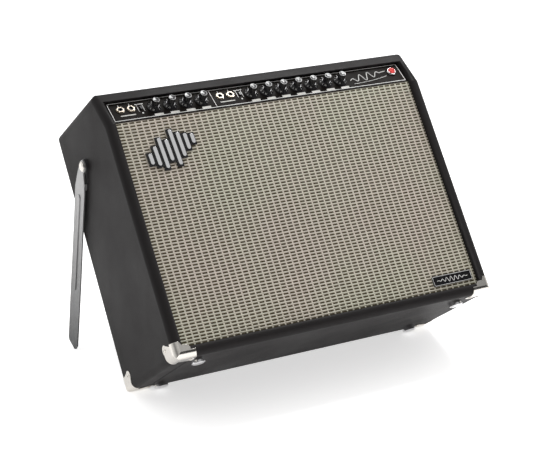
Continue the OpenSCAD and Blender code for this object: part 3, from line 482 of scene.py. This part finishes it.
# How far the boards lie inside the vinyl, and how sharply a corner passes from ball to their shape
BOARD_INSET = 0.35
CORNER_POWER = 16


def offset_for(angle):
    """Bevel offset that gives the edge radius at an edge with this interior angle."""
    return ROUND / math.tan(angle / 2)


WIDEST = offset_for(math.pi / 2 - FRONT_TILT)
SQUARE_WEIGHT = ROUND / WIDEST
TOP_WEIGHT = offset_for(math.pi / 2 + SLOPE_TILT) / WIDEST


def front_y(z):
    """How far back the front of the cabinet lies at height z."""
    if z <= BREAK_Z:
        return -D / 2 + z * BREAK_Y / BREAK_Z
    return -D / 2 + BREAK_Y + (z - BREAK_Z) * (TOP_Y - BREAK_Y) / (H - BREAK_Z)


def weigh_edges(bm):
    """Bevel weights that give every edge the same round and leave the bend in the front sharp."""
    across = {0: 1.0, 1: 0.0, 2: TOP_WEIGHT}
    layer = bm.edges.layers.float.new("bevel_weight_edge")
    for e in bm.edges:
        a, b = sorted(v.index for v in e.verts)
        e[layer] = across.get(a, SQUARE_WEIGHT) if b - a == 5 else SQUARE_WEIGHT


def fill_corners(bm, outline):
    """Eases the ball-shaped corners out, so that they cover the square-cut corners of the boards."""
    n = len(outline)
    for i in (0, 2, 3, 4):
        here, before, after = (Vector(outline[k % n]) for k in (i, i - 1, i + 1))
        a, b = (before - here).normalized(), (after - here).normalized()
        half = math.acos(a.dot(b)) / 2
        centre = here + (a + b).normalized() * ROUND / math.sin(half)
        normals = [(here + side * ROUND / math.tan(half) - centre).normalized() for side in (a, b)]
        for s in (-1, 1):
            middle = Vector((s * (W / 2 - ROUND), centre.x, centre.y)) * MM
            for v in bm.verts:
                d = v.co - middle
                size = d.length
                if d.x * s < 0 or size > ROUND * MM * 1.02:
                    continue
                u = d / size
                flat = Vector((u.y, u.z))
                if min(flat.dot(k) for k in normals) < -0.01:
                    continue
                widest = max([flat.length] + [math.hypot(u.x, flat.dot(k)) for k in normals])
                reach = (ROUND - BOARD_INSET) / widest
                eased = (ROUND ** CORNER_POWER + reach ** CORNER_POWER) ** (1 / CORNER_POWER)
                v.co = middle + u * MM * eased


def front_corners(e):
    """Corners of the front opening, grown by e: it bends back where the slope begins."""
    zs = (LIP_FOOT - e, BREAK_Z, LIP_HEAD + HEAD_EASE * e * math.cos(SLOPE_TILT))
    loop = [(-1, 0), (1, 0), (1, 1), (1, 2), (-1, 2), (-1, 1)]
    return [(s * (LIP_X + e), front_y(zs[k]), zs[k]) for s, k in loop]


def back_corners(e):
    """Corners of the back opening, grown by e."""
    loop = [(-1, LIP_FOOT - e), (1, LIP_FOOT - e), (1, LIP_HEAD + e), (-1, LIP_HEAD + e)]
    return [(s * (LIP_X + e), D / 2, z) for s, z in loop]


def turn_in(bm, flat, corners_at, radius, depth):
    """Opens the flat faces with a rounded lip; corners_at(e) lists the opening's corners, grown by e."""
    edge = []
    for f in flat:
        edge += [v for v in f.verts if v not in edge]
    bmesh.ops.delete(bm, geom=flat, context="FACES_ONLY")
    loops = [[min(edge, key=lambda v: (v.co.x * x < 0, abs(v.co.z - z * MM))) for x, y, z in corners_at(0)]]
    for k in range(LIP_STEPS + 1):
        turn = math.pi / 2 * k / LIP_STEPS
        sink = math.copysign(radius * (1 - math.cos(turn)), depth)
        corners = corners_at(radius * (1 - math.sin(turn)))
        loops.append([bm.verts.new(Vector((x, y + sink, z)) * MM) for x, y, z in corners])
    loops.append([bm.verts.new(Vector((x, y + depth, z)) * MM) for x, y, z in corners_at(0)])
    n = len(loops[0])
    for a, b in zip(loops, loops[1:]):
        for i in range(n):
            j = (i + 1) % n
            bm.faces.new((a[i], a[j], b[j], b[i]))
    stale = [e for e in bm.edges if not e.link_faces]
    bmesh.ops.delete(bm, geom=stale, context="EDGES")


def vinyl_skin():
    """The rounded outside of the cabinet with its openings and the turned-in lips."""
    outline = [(front_y(z), z) for z in (0, BREAK_Z, H)] + [(D / 2, H), (D / 2, 0)]
    verts = [(s * W / 2 * MM, y * MM, z * MM) for s in (-1, 1) for y, z in outline]
    sides = [(0, 1, 2, 3, 4), (9, 8, 7, 6, 5)]
    faces = sides + [(i, (i + 1) % 5, (i + 1) % 5 + 5, i + 5) for i in range(5)]
    obj = new_mesh("vinyl_covering_skin", verts, faces, "vinyl", None)
    tidy_normals(obj)
    bm = bmesh.new()
    bm.from_mesh(obj.data)
    weigh_edges(bm)
    bm.to_mesh(obj.data)
    bm.free()
    bevel(obj, WIDEST * MM, 8, True)
    apply_modifiers(obj)
    bm = bmesh.new()
    bm.from_mesh(obj.data)
    fill_corners(bm, outline)
    seven_flats = sorted(bm.faces, key=lambda f: -f.calc_area())[:7]
    front = [f for f in seven_flats if f.normal.y < -0.5]
    back = [f for f in seven_flats if f.normal.y > 0.9]
    turn_in(bm, front, front_corners, FRONT_ROUND, LIP_FRONT)
    turn_in(bm, back, back_corners, BACK_ROUND, -LIP_BACK)
    bmesh.ops.recalc_face_normals(bm, faces=bm.faces)
    for e in bm.edges:
        if all(abs(v.co.z - BREAK_Z * MM) < 1e-5 for v in e.verts):
            e.smooth = False
    bmesh.ops.transform(bm, matrix=CAB, verts=bm.verts)
    bm.to_mesh(obj.data)
    bm.free()
    obj.data.polygons.foreach_set("use_smooth", [True] * len(obj.data.polygons))
    obj.modifiers.new("flat", "WEIGHTED_NORMAL").keep_sharp = True
    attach(obj, "cabinet")
    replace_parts(obj, "vinyl_covering")


vinyl_skin()

SEAM_X, SEAM_WIDTH, SEAM_RISE, SEAM_SINK = -294.0, 9.0, 0.45, -0.1
# The seams stop just short of the rounded edges
SEAM_END, SEAM_TOP_END = 13.0, 10.0


def seam(name, y_from, y_to, z, out):
    """A lapped edge of vinyl that runs from front to back; out is -1 underneath and 1 on top."""
    section = [
        (0.0, SEAM_SINK), (0.0, SEAM_RISE), (SEAM_WIDTH * 0.25, SEAM_RISE * 0.9), (SEAM_WIDTH, SEAM_SINK)
    ]
    rings = [[cab(SEAM_X + x, y, z + out * up) for x, up in section] for y in np.linspace(y_from, y_to, 24)]
    strip = Pile()
    strip.add(*joined(rings))
    strip.piece(name, "vinyl")


seam("vinyl_seam_under", -D / 2 + SEAM_END, D / 2 - SEAM_END, 0, -1)
seam("vinyl_seam_top", -D / 2 + TOP_Y + SEAM_TOP_END, D / 2 - SEAM_END, H, 1)

# ---------- grille cloth ----------

PITCH_X, PITCH_Y = 12.88, 6.04
# A dash's place in its cell, as shares of the pitch; the cord fills the rest of the row
DASH_FROM, DASH_TO, DASH_TOP = 0.12, 0.88, 0.54
CORD_HEIGHT, DASH_MIDDLE, DASH_END, GAP_DEPTH = 0.72, 0.06, 0.40, 0.25
CLOTH_GAP, CLOTH_FOOT = 0.8, 20.4
EDGE_BAND = 12.0
STEPS_X = [0.0, 0.06, DASH_FROM, 0.30, 0.50, 0.70, DASH_TO, 0.94]
STEPS_Y = [0.0, 0.13, 0.27, 0.41, DASH_TOP, 0.66, 0.77, 0.89]


def weave_lines(start, end, pitch, steps):
    """Places of the mesh lines from start to end, with the same steps in every cell."""
    places = [start + (cell + s) * pitch for cell in range(int((end - start) / pitch) + 1) for s in steps]
    return np.array([p for p in places if p < end] + [end])


def hump(t, low, high, power):
    return np.clip(np.sin(np.pi * np.clip((t - low) / (high - low), 0, 1)), 0, 1) ** power


def weave_height(u, v, jitter):
    """Height of the weave at the share u, v of its cell, in mm."""
    cord = hump(v, DASH_TOP, 1, 0.7)
    dash = hump(v, 0, DASH_TOP, 0.8)
    across = hump(u, DASH_FROM, DASH_TO, 0.5)
    z = CORD_HEIGHT * cord * (0.86 + 0.14 * np.cos(2 * np.pi * (u - 0.02)))
    z = z + dash * (DASH_MIDDLE * across + DASH_END * (1 - across))
    z = z - GAP_DEPTH * (1 - cord) * (1 - dash)
    return z + 0.04 * jitter * (cord + dash)


def drifted(x, y, jitter):
    """The hand of the weave: rows and columns wander a little, but not along the edges."""
    drift_x = 0.35 * np.sin(y * 0.021 + 0.6) + 0.22 * np.sin(y * 0.057)
    drift_y = 0.40 * np.sin(x * 0.013 + 1.1) + 0.25 * np.sin(x * 0.043 + y * 0.01)
    to_edge = np.minimum.reduce([x - x[0, 0], x[0, -1] - x, y - y[0, 0], y[-1, 0] - y])
    inside = np.clip(to_edge / EDGE_BAND, 0, 1)
    return x + drift_x * inside, y + (drift_y + 0.10 * jitter) * inside


def grid_mesh(name, points, across):
    """A mesh of quads over points that lie in rows of the given number."""
    rows = len(points) // across
    i = np.arange((rows - 1) * across).reshape(rows - 1, across)[:, :-1].ravel()
    faces = np.stack([i, i + 1, i + across + 1, i + across], 1)
    me = bpy.data.meshes.new(name)
    me.vertices.add(len(points))
    me.vertices.foreach_set("co", points.astype(np.float32).ravel())
    me.loops.add(len(faces) * 4)
    me.loops.foreach_set("vertex_index", faces.ravel().astype(np.int32))
    me.polygons.add(len(faces))
    me.polygons.foreach_set("loop_start", np.arange(0, len(faces) * 4, 4, dtype=np.int32))
    me.polygons.foreach_set("use_smooth", np.ones(len(faces), bool))
    return me


def grille_cloth():
    """Thick pale cords along every row, with a row of short dark dashes between them."""
    low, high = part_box("grille_cloth")
    half = INNER_X - CLOTH_GAP
    head = CLOTH_FOOT - CLOTH_GAP + (high - low).yz.length / MM
    xs = weave_lines(-half, half, PITCH_X, STEPS_X)
    ys = weave_lines(CLOTH_FOOT, head, PITCH_Y, STEPS_Y)
    x, y = np.meshgrid(xs, ys)
    col = np.floor((x + half) / PITCH_X + 1e-6).astype(int)
    row = np.floor((y - CLOTH_FOOT) / PITCH_Y + 1e-6).astype(int)
    u = (x + half) / PITCH_X - col
    v = (y - CLOTH_FOOT) / PITCH_Y - row
    rng = np.random.default_rng(7)
    jitter = rng.normal(0, 1, (row.max() + 1, col.max() + 1))[row, col]
    z = weave_height(u, v, jitter)
    x, y = drifted(x, y, jitter)
    m = np.array(GRILLE)
    points = np.stack([x.ravel(), y.ravel(), z.ravel()], 1) * MM @ m[:3, :3].T + m[:3, 3]
    me = grid_mesh("grille_cloth_weave", points, len(xs))
    u_mid = np.where(u[:-1, 1:] < u[:-1, :-1], 1, (u[:-1, :-1] + u[:-1, 1:]) / 2)
    v_mid = np.where(v[1:, :-1] < v[:-1, :-1], 1, (v[:-1, :-1] + v[1:, :-1]) / 2)
    dark = (v_mid < DASH_TOP) & (u_mid > DASH_FROM) & (u_mid < DASH_TO)
    me.polygons.foreach_set("material_index", dark.ravel().astype(np.int32))
    me.materials.append(MAT["strand_light"])
    me.materials.append(MAT["strand_dark"])
    me.update()
    me.validate()
    obj = bpy.data.objects.new("grille_cloth_weave", me)
    bpy.context.scene.collection.objects.link(obj)
    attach(obj, "cabinet")
    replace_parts(obj, "grille_cloth")


grille_cloth()

# ---------- panel print ----------

INK_FOOT, INK_TOP = 0.02, 0.16
BOX_LEFT, BOX_RIGHT, BOX_LOW, BOX_HIGH, DIVIDER = -308.5, 308.5, 12.0, 55.5, -104.0
HALF_LINE = 0.5
JACK_PAIRS = [(-289.0, -268.0), (-88.0, -66.0)]
# Where marks begin and end, from the middle of a jack, of a knob or from the foot of the box
JACK_TICK, KNOB_TICK = (9.2, 13.5), (13.0, 16.0)
KNOB_TAB_X, KNOB_TAB_Y = (-5.8, 11.8), (1.0, 5.4)
JACK_TAB_HALF, JACK_TAB_Y = 15.0, (-15.4, -13.2)


def local_x(node):
    low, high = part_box(node)
    return (low.x + high.x) / 2 / MM


def stroke(pile, x0, x1, y0, y1, top=INK_TOP):
    """A printed bar on the panel."""
    pile.bar(PANEL, x0, y0, x1, y1, INK_FOOT, top)


def upright(pile, x, half, y0, y1):
    stroke(pile, x - half, x + half, y0, y1)


def slider_frame(pile, x):
    """The marks around the slot of a bright switch."""
    for side in (-1, 1):
        upright(pile, x + side * 5.4, 0.4, JACK_V - 9, JACK_V + 9)
    upright(pile, x, 8.5, JACK_V + 9, JACK_V + 10)
    upright(pile, x, 1.2, JACK_V - 14.5, JACK_V - 12)


def panel_print():
    lines = Pile()
    for y in (BOX_LOW, BOX_HIGH):
        stroke(lines, BOX_LEFT, BOX_RIGHT, y - HALF_LINE, y + HALF_LINE)
    for x in (BOX_LEFT, DIVIDER, BOX_RIGHT):
        upright(lines, x, HALF_LINE, BOX_LOW, BOX_HIGH)
    for pair in JACK_PAIRS:
        for x in pair:
            upright(lines, x, HALF_LINE, *[JACK_V + y for y in JACK_TICK])
    for node in ("left_bright_slider", "right_bright_slider"):
        slider_frame(lines, local_x(node))
    for knob in KNOBS:
        upright(lines, local_x(knob), 0.45, *[KNOB_V + y for y in KNOB_TICK])
    lines.piece("panel_print_lines", "print_white")


def panel_tabs():
    """Blank tabs under the knobs and under each pair of jacks."""
    tabs = Pile()
    for knob in KNOBS:
        sides = [local_x(knob) + x for x in KNOB_TAB_X]
        stroke(tabs, *sides, *[BOX_LOW + y for y in KNOB_TAB_Y], INK_TOP + 0.05)
    for pair in JACK_PAIRS:
        upright(tabs, sum(pair) / 2, JACK_TAB_HALF, *[JACK_V + y for y in JACK_TAB_Y])
    tabs.piece("panel_print_tabs", "print_pale")


def drawn_line(m, points, radius, name):
    """A white raised line through points in mm of frame m."""
    line = Pile()
    line.tube([on(m, *point) for point in points], radius * MM, 6)
    line.piece(name, "print_white", smooth=True)


# The wave motif and the line under it: start, run to the right, climb, thickness
WAVE_START, WAVE_RUN, WAVE_CLIMB, WAVE_RADIUS = (192.0, 30.0), 84.0, 12.0, 0.75
WAVE_SWING, WAVE_COUNT = 9.5, 4.2
BOW_START, BOW_RUN, BOW_CLIMB, BOW_RADIUS = (196.0, 20.0), 78.0, 9.0, 0.45
BOW_SAG = 2.2


def panel_motif():
    """An abstract wave that swells and dies away, with a bowed line under it."""
    wave = []
    for k in range(61):
        s = k / 60
        swell = math.sin(math.pi * min(1, s * 1.15)) ** 0.8
        swing = WAVE_SWING * swell * math.sin(s * 2 * math.pi * WAVE_COUNT)
        wave.append((WAVE_START[0] + WAVE_RUN * s, WAVE_START[1] + WAVE_CLIMB * s + swing, 0.25))
    drawn_line(PANEL, wave, WAVE_RADIUS, "panel_wave_motif")
    bow = []
    for k in range(21):
        s = k / 20
        sag = BOW_SAG * math.sin(math.pi * s)
        bow.append((BOW_START[0] + BOW_RUN * s, BOW_START[1] + BOW_CLIMB * s - sag, 0.2))
    drawn_line(PANEL, bow, BOW_RADIUS, "panel_wave_underline")


panel_print()
panel_tabs()
panel_motif()

# ---------- knob numbers ----------


DIGIT_SIZE, DIGIT_HALF_THICK = 3.9, 0.06


def digit_mesh(text):
    """Vertices and faces of a flat number, centred on z = 0."""
    c = bpy.data.curves.new("digit", "FONT")
    c.body = text
    c.size = DIGIT_SIZE * MM
    c.extrude = DIGIT_HALF_THICK * MM
    c.resolution_u = 2
    c.align_x, c.align_y = "CENTER", "CENTER"
    o = bpy.data.objects.new("digit", c)
    bpy.context.scene.collection.objects.link(o)
    dg = bpy.context.evaluated_depsgraph_get()
    me = bpy.data.meshes.new_from_object(o.evaluated_get(dg))
    verts = [v.co.copy() for v in me.vertices]
    faces = [tuple(p.vertices) for p in me.polygons]
    bpy.data.objects.remove(o)
    bpy.data.meshes.remove(me)
    bpy.data.curves.remove(c)
    return verts, faces


SKIRT_R, SKIRT_Z, CONE_R, CONE_Z = 13.6, 2.1, 8.2, 6.5
DIGITS = {i: digit_mesh(str(i)) for i in range(1, 11)}
TURN_PER_STEP = math.radians(300 / 9)
MIDDLE_NUMBER = 5.5
INK_LIFT = 0.05


def knob_numbers(knob, pos):
    """The numbers 1 to 10 around the sloping skirt of a knob."""
    m = basis(pos, panel_up, knob_axis)
    slope = math.atan2(CONE_Z - SKIRT_Z, SKIRT_R - CONE_R)
    outward = Matrix.Translation((0, (SKIRT_R + CONE_R) / 2 * MM, (SKIRT_Z + CONE_Z) / 2 * MM))
    verts, faces = [], []
    for value, (digit_verts, digit_faces) in DIGITS.items():
        turn = Matrix.Rotation((value - MIDDLE_NUMBER) * TURN_PER_STEP, 4, "Z")
        place = m @ turn @ outward @ Matrix.Rotation(-slope, 4, "X")
        first = len(verts)
        verts += [place @ (v + Vector((0, 0, INK_LIFT * MM))) for v in digit_verts]
        faces += [tuple(i + first for i in f) for f in digit_faces]
    obj = new_mesh(knob + "_numbers", verts, faces, "print_pale", knob, False)


for k, p in zip(KNOBS, knob_pos):
    knob_numbers(k, p)

# ---------- name plate ----------

PLATE_RIM, PLATE_FLOOR = 2.42, 1.75
RIM_HALF_W, RIM_HALF_H, RIM_ROUND = 42.3, 8.8, 2.4
PULSE_HALF, PULSE_SWING, PULSE_COUNT = 34.0, 4.6, 7


def plate_rim():
    """Points of a rectangle with round corners, closed."""
    rim = []
    for sx, sy, start in ((1, 1, 0), (-1, 1, 90), (-1, -1, 180), (1, -1, 270)):
        for k in range(5):
            a = math.radians(start + 90 * k / 4)
            x = sx * (RIM_HALF_W - RIM_ROUND) + RIM_ROUND * math.cos(a)
            y = sy * (RIM_HALF_H - RIM_ROUND) + RIM_ROUND * math.sin(a)
            rim.append((x, y, PLATE_RIM))
    return rim + rim[:1]


def plate_pulse():
    """Points of a wave that is tallest in the middle of the plate."""
    pulse = []
    for k in range(81):
        s = k / 80
        swell = math.sin(math.pi * s) ** 1.2
        y = PULSE_SWING * swell * math.sin(s * 2 * math.pi * PULSE_COUNT)
        pulse.append((PULSE_HALF * (2 * s - 1), y, PLATE_FLOOR))
    return pulse


def plate_marks():
    low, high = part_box("name_plate")
    middle = GRILLE.inverted() @ ((low + high) / 2)
    plate = GRILLE @ Matrix.Translation((middle.x, middle.y, 0))
    drawn_line(plate, plate_rim(), 0.42, "name_plate_rim")
    drawn_line(plate, plate_pulse(), 0.55, "name_plate_pulse")


plate_marks()

# ---------- strap handle ----------


STRAP_Y, STRAP_HALF, STRAP_WIDTH, STRAP_THICK = 25.0, 104.0, 27.0, 6.0
# The strap lies flat at its ends, climbs between these distances from an end, and bows upward
STRAP_FLAT, STRAP_BEND, STRAP_RISE, STRAP_BOW = 20.0, 46.0, 16.0, 0.8
STRAP_FOOT = 4.0
STRAP_STEPS = 80


def strap_path():
    """Places of the strap's middle along the top, as (x, height above the top)."""
    path = []
    for k in range(STRAP_STEPS + 1):
        x = -STRAP_HALF + 2 * STRAP_HALF * k / STRAP_STEPS
        t = min(1, max(0, (STRAP_HALF - abs(x) - STRAP_FLAT) / (STRAP_BEND - STRAP_FLAT)))
        ease = t * t * (3 - 2 * t)
        path.append((x, STRAP_FOOT + STRAP_RISE * ease + STRAP_BOW * (1 - (x / STRAP_HALF) ** 2)))
    return path


def strap_section():
    """A flat round-ended section with a welt near each edge and a shallow hollow in the middle."""
    section = []
    for k in range(24):
        a = 2 * math.pi * k / 24
        c, s = math.cos(a), math.sin(a)
        x = math.copysign(abs(c) ** 0.35, c) * STRAP_WIDTH / 2
        z = math.copysign(abs(s) ** 0.7, s) * STRAP_THICK / 2
        welt = 0.18 * math.exp(-((abs(x) - STRAP_WIDTH * 0.40) / 1.6) ** 2)
        hollow = 0.08 * math.exp(-(x / 6) ** 2)
        section.append((x, z * (1 + welt - hollow)))
    return section


def strap():
    path = strap_path()
    section = strap_section()
    rings = []
    for i, (x, z) in enumerate(path):
        x2, z2 = path[min(i + 1, STRAP_STEPS)]
        x1, z1 = path[max(i - 1, 0)]
        a = math.atan2(z2 - z1, x2 - x1)
        rings.append([
            cab(x - pz * math.sin(a), STRAP_Y + px, H + z + pz * math.cos(a)) for px, pz in section
        ])
    moulded = Pile()
    moulded.add(*joined(rings))
    obj = moulded.piece("handle_strap_moulded", "strap", smooth=True)
    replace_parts(obj, "handle_strap")
    stitches = Pile()
    for side in (-1, 1):
        y = STRAP_Y + side * STRAP_WIDTH * 0.31
        for k in range(6, 75, 2):
            stitch(stitches, path[k], path[k + 1], y)
    stitches.piece("handle_stitches", "thread", smooth=True)


def stitch(pile, start, end, y):
    """A thread that comes out of the strap at the start and goes in again at the end."""
    (xa, za), (xb, zb) = start, end
    top = H + STRAP_THICK / 2 + 0.1
    pile.tube([
        cab(xa, y, za + top - 0.35), cab(xa + 0.4, y, za + top + 0.15),
        cab(xb - 0.4, y, zb + top + 0.15), cab(xb, y, zb + top - 0.35)
    ], 0.35 * MM, 6)


strap()

# ---------- back panels ----------


def covered_board(node, name):
    """A vinyl covered board with rounded edges in place of a back panel."""
    upright = CAB.inverted()
    points = np.array([upright @ v.co for v in NODES[node].data.vertices]) / MM
    (x0, y0, z0), (x1, y1, z1) = points.min(0), points.max(0)
    board = Pile()
    board.bar(CAB, x0, y0, x1, y1, z0, z1)
    obj = board.piece(name, "vinyl", None, True)
    bevel(obj, 2.2 * MM, 4)
    apply_modifiers(obj)
    obj.data.polygons.foreach_set("use_smooth", [True] * len(obj.data.polygons))
    obj.modifiers.new("flat", "WEIGHTED_NORMAL")
    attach(obj, "cabinet")
    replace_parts(obj, node)


covered_board("upper_back_panel", "upper_back_panel_covered")
covered_board("lower_back_panel", "lower_back_panel_covered")

# ---------- loudspeakers ----------


def speaker_frame(side):
    """The loudspeaker's frame: z = 0 at the back of the baffle, z runs to the rear."""
    low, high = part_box(side + "_speaker_cone")
    middle = GRILLE.inverted() @ ((low + high) / 2)
    origin = on(GRILLE, middle.x / MM, middle.y / MM, -(CLOTH + BAFFLE))
    return basis(origin, -front_up, speaker_axis)


CONE_EDGE, COIL_R = 124.0, 25.4
CONE_NECK, CONE_NECK_Z, CONE_DEPTH = 31.5, 62.0, 56.6
DUST_CAP = [(0, 52), (14, 54), (24, 57.6), (30, 61.4)]
CAP_BACK = [(14, 55.4), (0, 53.4)]


def cone_profile():
    """A ribbed paper cone with its dust cap in front and its coil behind."""
    ribs = []
    for k in range(25):
        s = k / 24
        rib = 0.7 * math.sin(s * 2 * math.pi * 7) if 0.15 < s < 0.9 else 0
        r = CONE_NECK + (CONE_EDGE - 4 - CONE_NECK) * s
        ribs.append((r, CONE_NECK_Z - CONE_DEPTH * s ** 1.06 + rib))
    edge = [(CONE_EDGE, 2.2), (CONE_EDGE, 3.6)]
    back = [(r + 0.3, z + 1.3) for r, z in reversed(ribs)]
    coil = [(COIL_R + 0.4, 66), (COIL_R + 0.4, 92), (COIL_R - 0.2, 92), (COIL_R - 0.2, 61.5)]
    return DUST_CAP + ribs + edge + back + coil + CAP_BACK


def surround_profile():
    """Three rolls of doped cloth between the cone and the frame."""
    rolls = []
    for k in range(33):
        s = k / 32
        rolls.append((CONE_EDGE + 0.4 + 11.2 * s, 2.9 + 1.5 * math.sin(s * 2 * math.pi * 3)))
    return rolls + [(r, z + 0.9) for r, z in reversed(rolls)]


def spider_profile():
    """Five rolls between the coil and the frame, ending in an upturned rim."""
    rolls = []
    for k in range(41):
        s = k / 40
        rolls.append((COIL_R + 1 + 31 * s, 73.6 + 1.2 * math.sin(s * 2 * math.pi * 5)))
    rim = [(58.0, 81.9), (57.0, 81.9)]
    return rolls + rim + [(r - 0.02, z + 0.8) for r, z in reversed(rolls[:-1])]


def speaker(side):
    m = speaker_frame(side)
    moving = side + "_speaker_cone"
    cone = lathe(cone_profile(), m, 96, side + "_cone_pressed", "paper", moving)
    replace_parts(cone, moving)
    surround = lathe(surround_profile(), m, 96, side + "_surround_rolls", "doped", "cabinet")
    spider = lathe(spider_profile(), m, 72, side + "_spider_rolls", "doped", "cabinet")
    return surround


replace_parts(speaker("left"), "speaker_suspensions")
speaker("right")

LEAD_STEPS = 39
LEAD_X, LEAD_LOW, LEAD_RUN, LEAD_BACK = 62.0, 222.0, 220.0, 102.0
# From its terminal the lead first moves inward by LEAD_REACH, then both leads twist round each other
LEAD_REACH, LEAD_SAG = 30.0, 6.0
TWIST_RADIUS, TWIST_TURN, LEAD_APART = 1.6, 26.0, 2.2


def lead_points(side, strand):
    """One of the two leads of a loudspeaker, from its terminal up to the chassis."""
    phase = 0 if strand < 0 else math.pi
    points = []
    for k in range(LEAD_STEPS + 1):
        s = k / LEAD_STEPS
        reach = side * LEAD_REACH * max(0, 1 - s * 4) ** 1.5
        x = side * LEAD_X + strand * LEAD_APART + reach + TWIST_RADIUS * math.sin(s * TWIST_TURN + phase)
        y = LEAD_LOW + LEAD_RUN * s - LEAD_SAG * math.sin(math.pi * min(1, s * 4))
        points.append(on(GRILLE, x, y, TWIST_RADIUS * math.cos(s * TWIST_TURN) - LEAD_BACK))
    return points


def lead(name, side, strand, key):
    wire = Pile()
    wire.tube(lead_points(side, strand), 1.25 * MM, 8)
    obj = wire.piece(name, key, smooth=True)
    return obj


left_red = lead("left_lead_wire_red", -1, -1, "wire_red")
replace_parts(left_red, "speaker_leads")
lead("left_lead_wire_black", -1, 1, "wire_black")
lead("right_lead_wire_red", 1, -1, "wire_red")
lead("right_lead_wire_black", 1, 1, "wire_black")

# ---------- stage, light, camera ----------

FLOOR_GLOW, FLOOR_LIFT, FLOOR_HALF = 0.35, 0.62, 30.0


def stage_floor():
    """A pale floor that glows a little, more so where the camera sees it directly."""
    me = bpy.data.meshes.new("floor")
    s = FLOOR_HALF
    me.from_pydata([(-s, -s, 0), (s, -s, 0), (s, s, 0), (-s, s, 0)], [], [(0, 1, 2, 3)])
    o = bpy.data.objects.new("floor", me)
    bpy.context.scene.collection.objects.link(o)
    m, t, b = new_material("pale_floor")
    v = coords(t)
    t.links.new(mix(t, noise(t, v, 2.0), (0.90, 0.895, 0.89), (0.93, 0.925, 0.92)), b.inputs["Base Color"])
    b.inputs["Roughness"].default_value = 0.8
    b.inputs["Emission Color"].default_value = (1, 1, 1, 1)
    ray = t.nodes.new("ShaderNodeLightPath")
    glow = span(t, ray.outputs["Is Camera Ray"], FLOOR_GLOW, FLOOR_LIFT)
    t.links.new(glow, b.inputs["Emission Strength"])
    me.materials.append(m)


stage_floor()

AIM = Vector((0, 0, 0.25))


def area(name, direction, distance, size, power, colour=(1, 1, 1)):
    """An area light that looks at the middle of the amplifier from the given direction."""
    d = Vector(direction).normalized()
    light = bpy.data.lights.new(name, "AREA")
    light.shape = "RECTANGLE"
    light.size, light.size_y = size
    light.energy = power
    light.color = colour
    o = bpy.data.objects.new(name, light)
    bpy.context.scene.collection.objects.link(o)
    o.location = AIM + d * distance
    o.rotation_mode = "QUATERNION"
    o.rotation_quaternion = (-d).to_track_quat("-Z", "Y")
    return o


area("key_above", (0.44, 0.10, 0.88), 2.6, (0.95, 0.7), 40)
fills = [
    area("front_left", (-0.80, -0.45, 0.50), 3.2, (2.2, 2.2), 3),
    area("front_right", (0.75, -0.75, 0.45), 3.4, (2.2, 2.2), 14),
    area("low_front", (0.15, -1.0, 0.10), 2.2, (2.4, 0.5), 3, (1.0, 0.75, 0.75)),
]
for fill in fills:
    fill.visible_glossy = False

SKY_SEEN = 1.0
SKY_DARK, SKY_OVERHEAD = 0.06, 0.95


def studio_sky():
    """White where the camera sees it; as light it's bright overhead and behind, dark low in front."""
    world = bpy.data.worlds.new("studio")
    bpy.context.scene.world = world
    world.use_nodes = True
    t = world.node_tree
    direction = t.nodes.new("ShaderNodeTexCoord")
    split = t.nodes.new("ShaderNodeSeparateXYZ")
    t.links.new(direction.outputs["Generated"], split.inputs["Vector"])
    brighter = t.nodes.new("ShaderNodeMath")
    brighter.operation = "MAXIMUM"
    t.links.new(span(t, split.outputs["Z"], 0.0, 1.0, 0.50, 0.95), brighter.inputs[0])
    t.links.new(span(t, split.outputs["Y"], 0.0, 1.0, -0.55, 0.25), brighter.inputs[1])
    ray = t.nodes.new("ShaderNodeLightPath")
    pick = t.nodes.new("ShaderNodeMix")
    pick.inputs["B"].default_value = SKY_SEEN
    t.links.new(ray.outputs["Is Camera Ray"], pick.inputs["Factor"])
    t.links.new(span(t, brighter.outputs["Value"], SKY_DARK, SKY_OVERHEAD), pick.inputs["A"])
    background = t.nodes["Background"]
    background.inputs["Color"].default_value = (1, 1, 1, 1)
    t.links.new(pick.outputs["Result"], background.inputs["Strength"])


studio_sky()
bpy.context.scene.view_settings.view_transform = "Standard"

# The camera stands to the left of the front and looks down a little.
CAM_PLACE = Vector((-1.4584, -2.5979, 1.3341))
CAM_AHEAD = Vector((0.4609, 0.8199, -0.3395)).normalized()
CAM_RIGHT = Vector((0.8726, -0.4883, 0.0054)).normalized()
SENSOR, LENS = 36.0, 109.1127


def camera():
    up = CAM_RIGHT.cross(CAM_AHEAD).normalized()
    right = CAM_AHEAD.cross(up).normalized()
    cam = bpy.data.cameras.new("camera")
    cam.sensor_width = SENSOR
    cam.lens = LENS
    cam.shift_x, cam.shift_y = 0.0011, -0.0012
    obj = bpy.data.objects.new("camera", cam)
    bpy.context.scene.collection.objects.link(obj)
    pose = Matrix((right, up, -CAM_AHEAD)).transposed().to_4x4()
    pose.translation = CAM_PLACE
    obj.matrix_world = pose
    bpy.context.scene.camera = obj


camera()
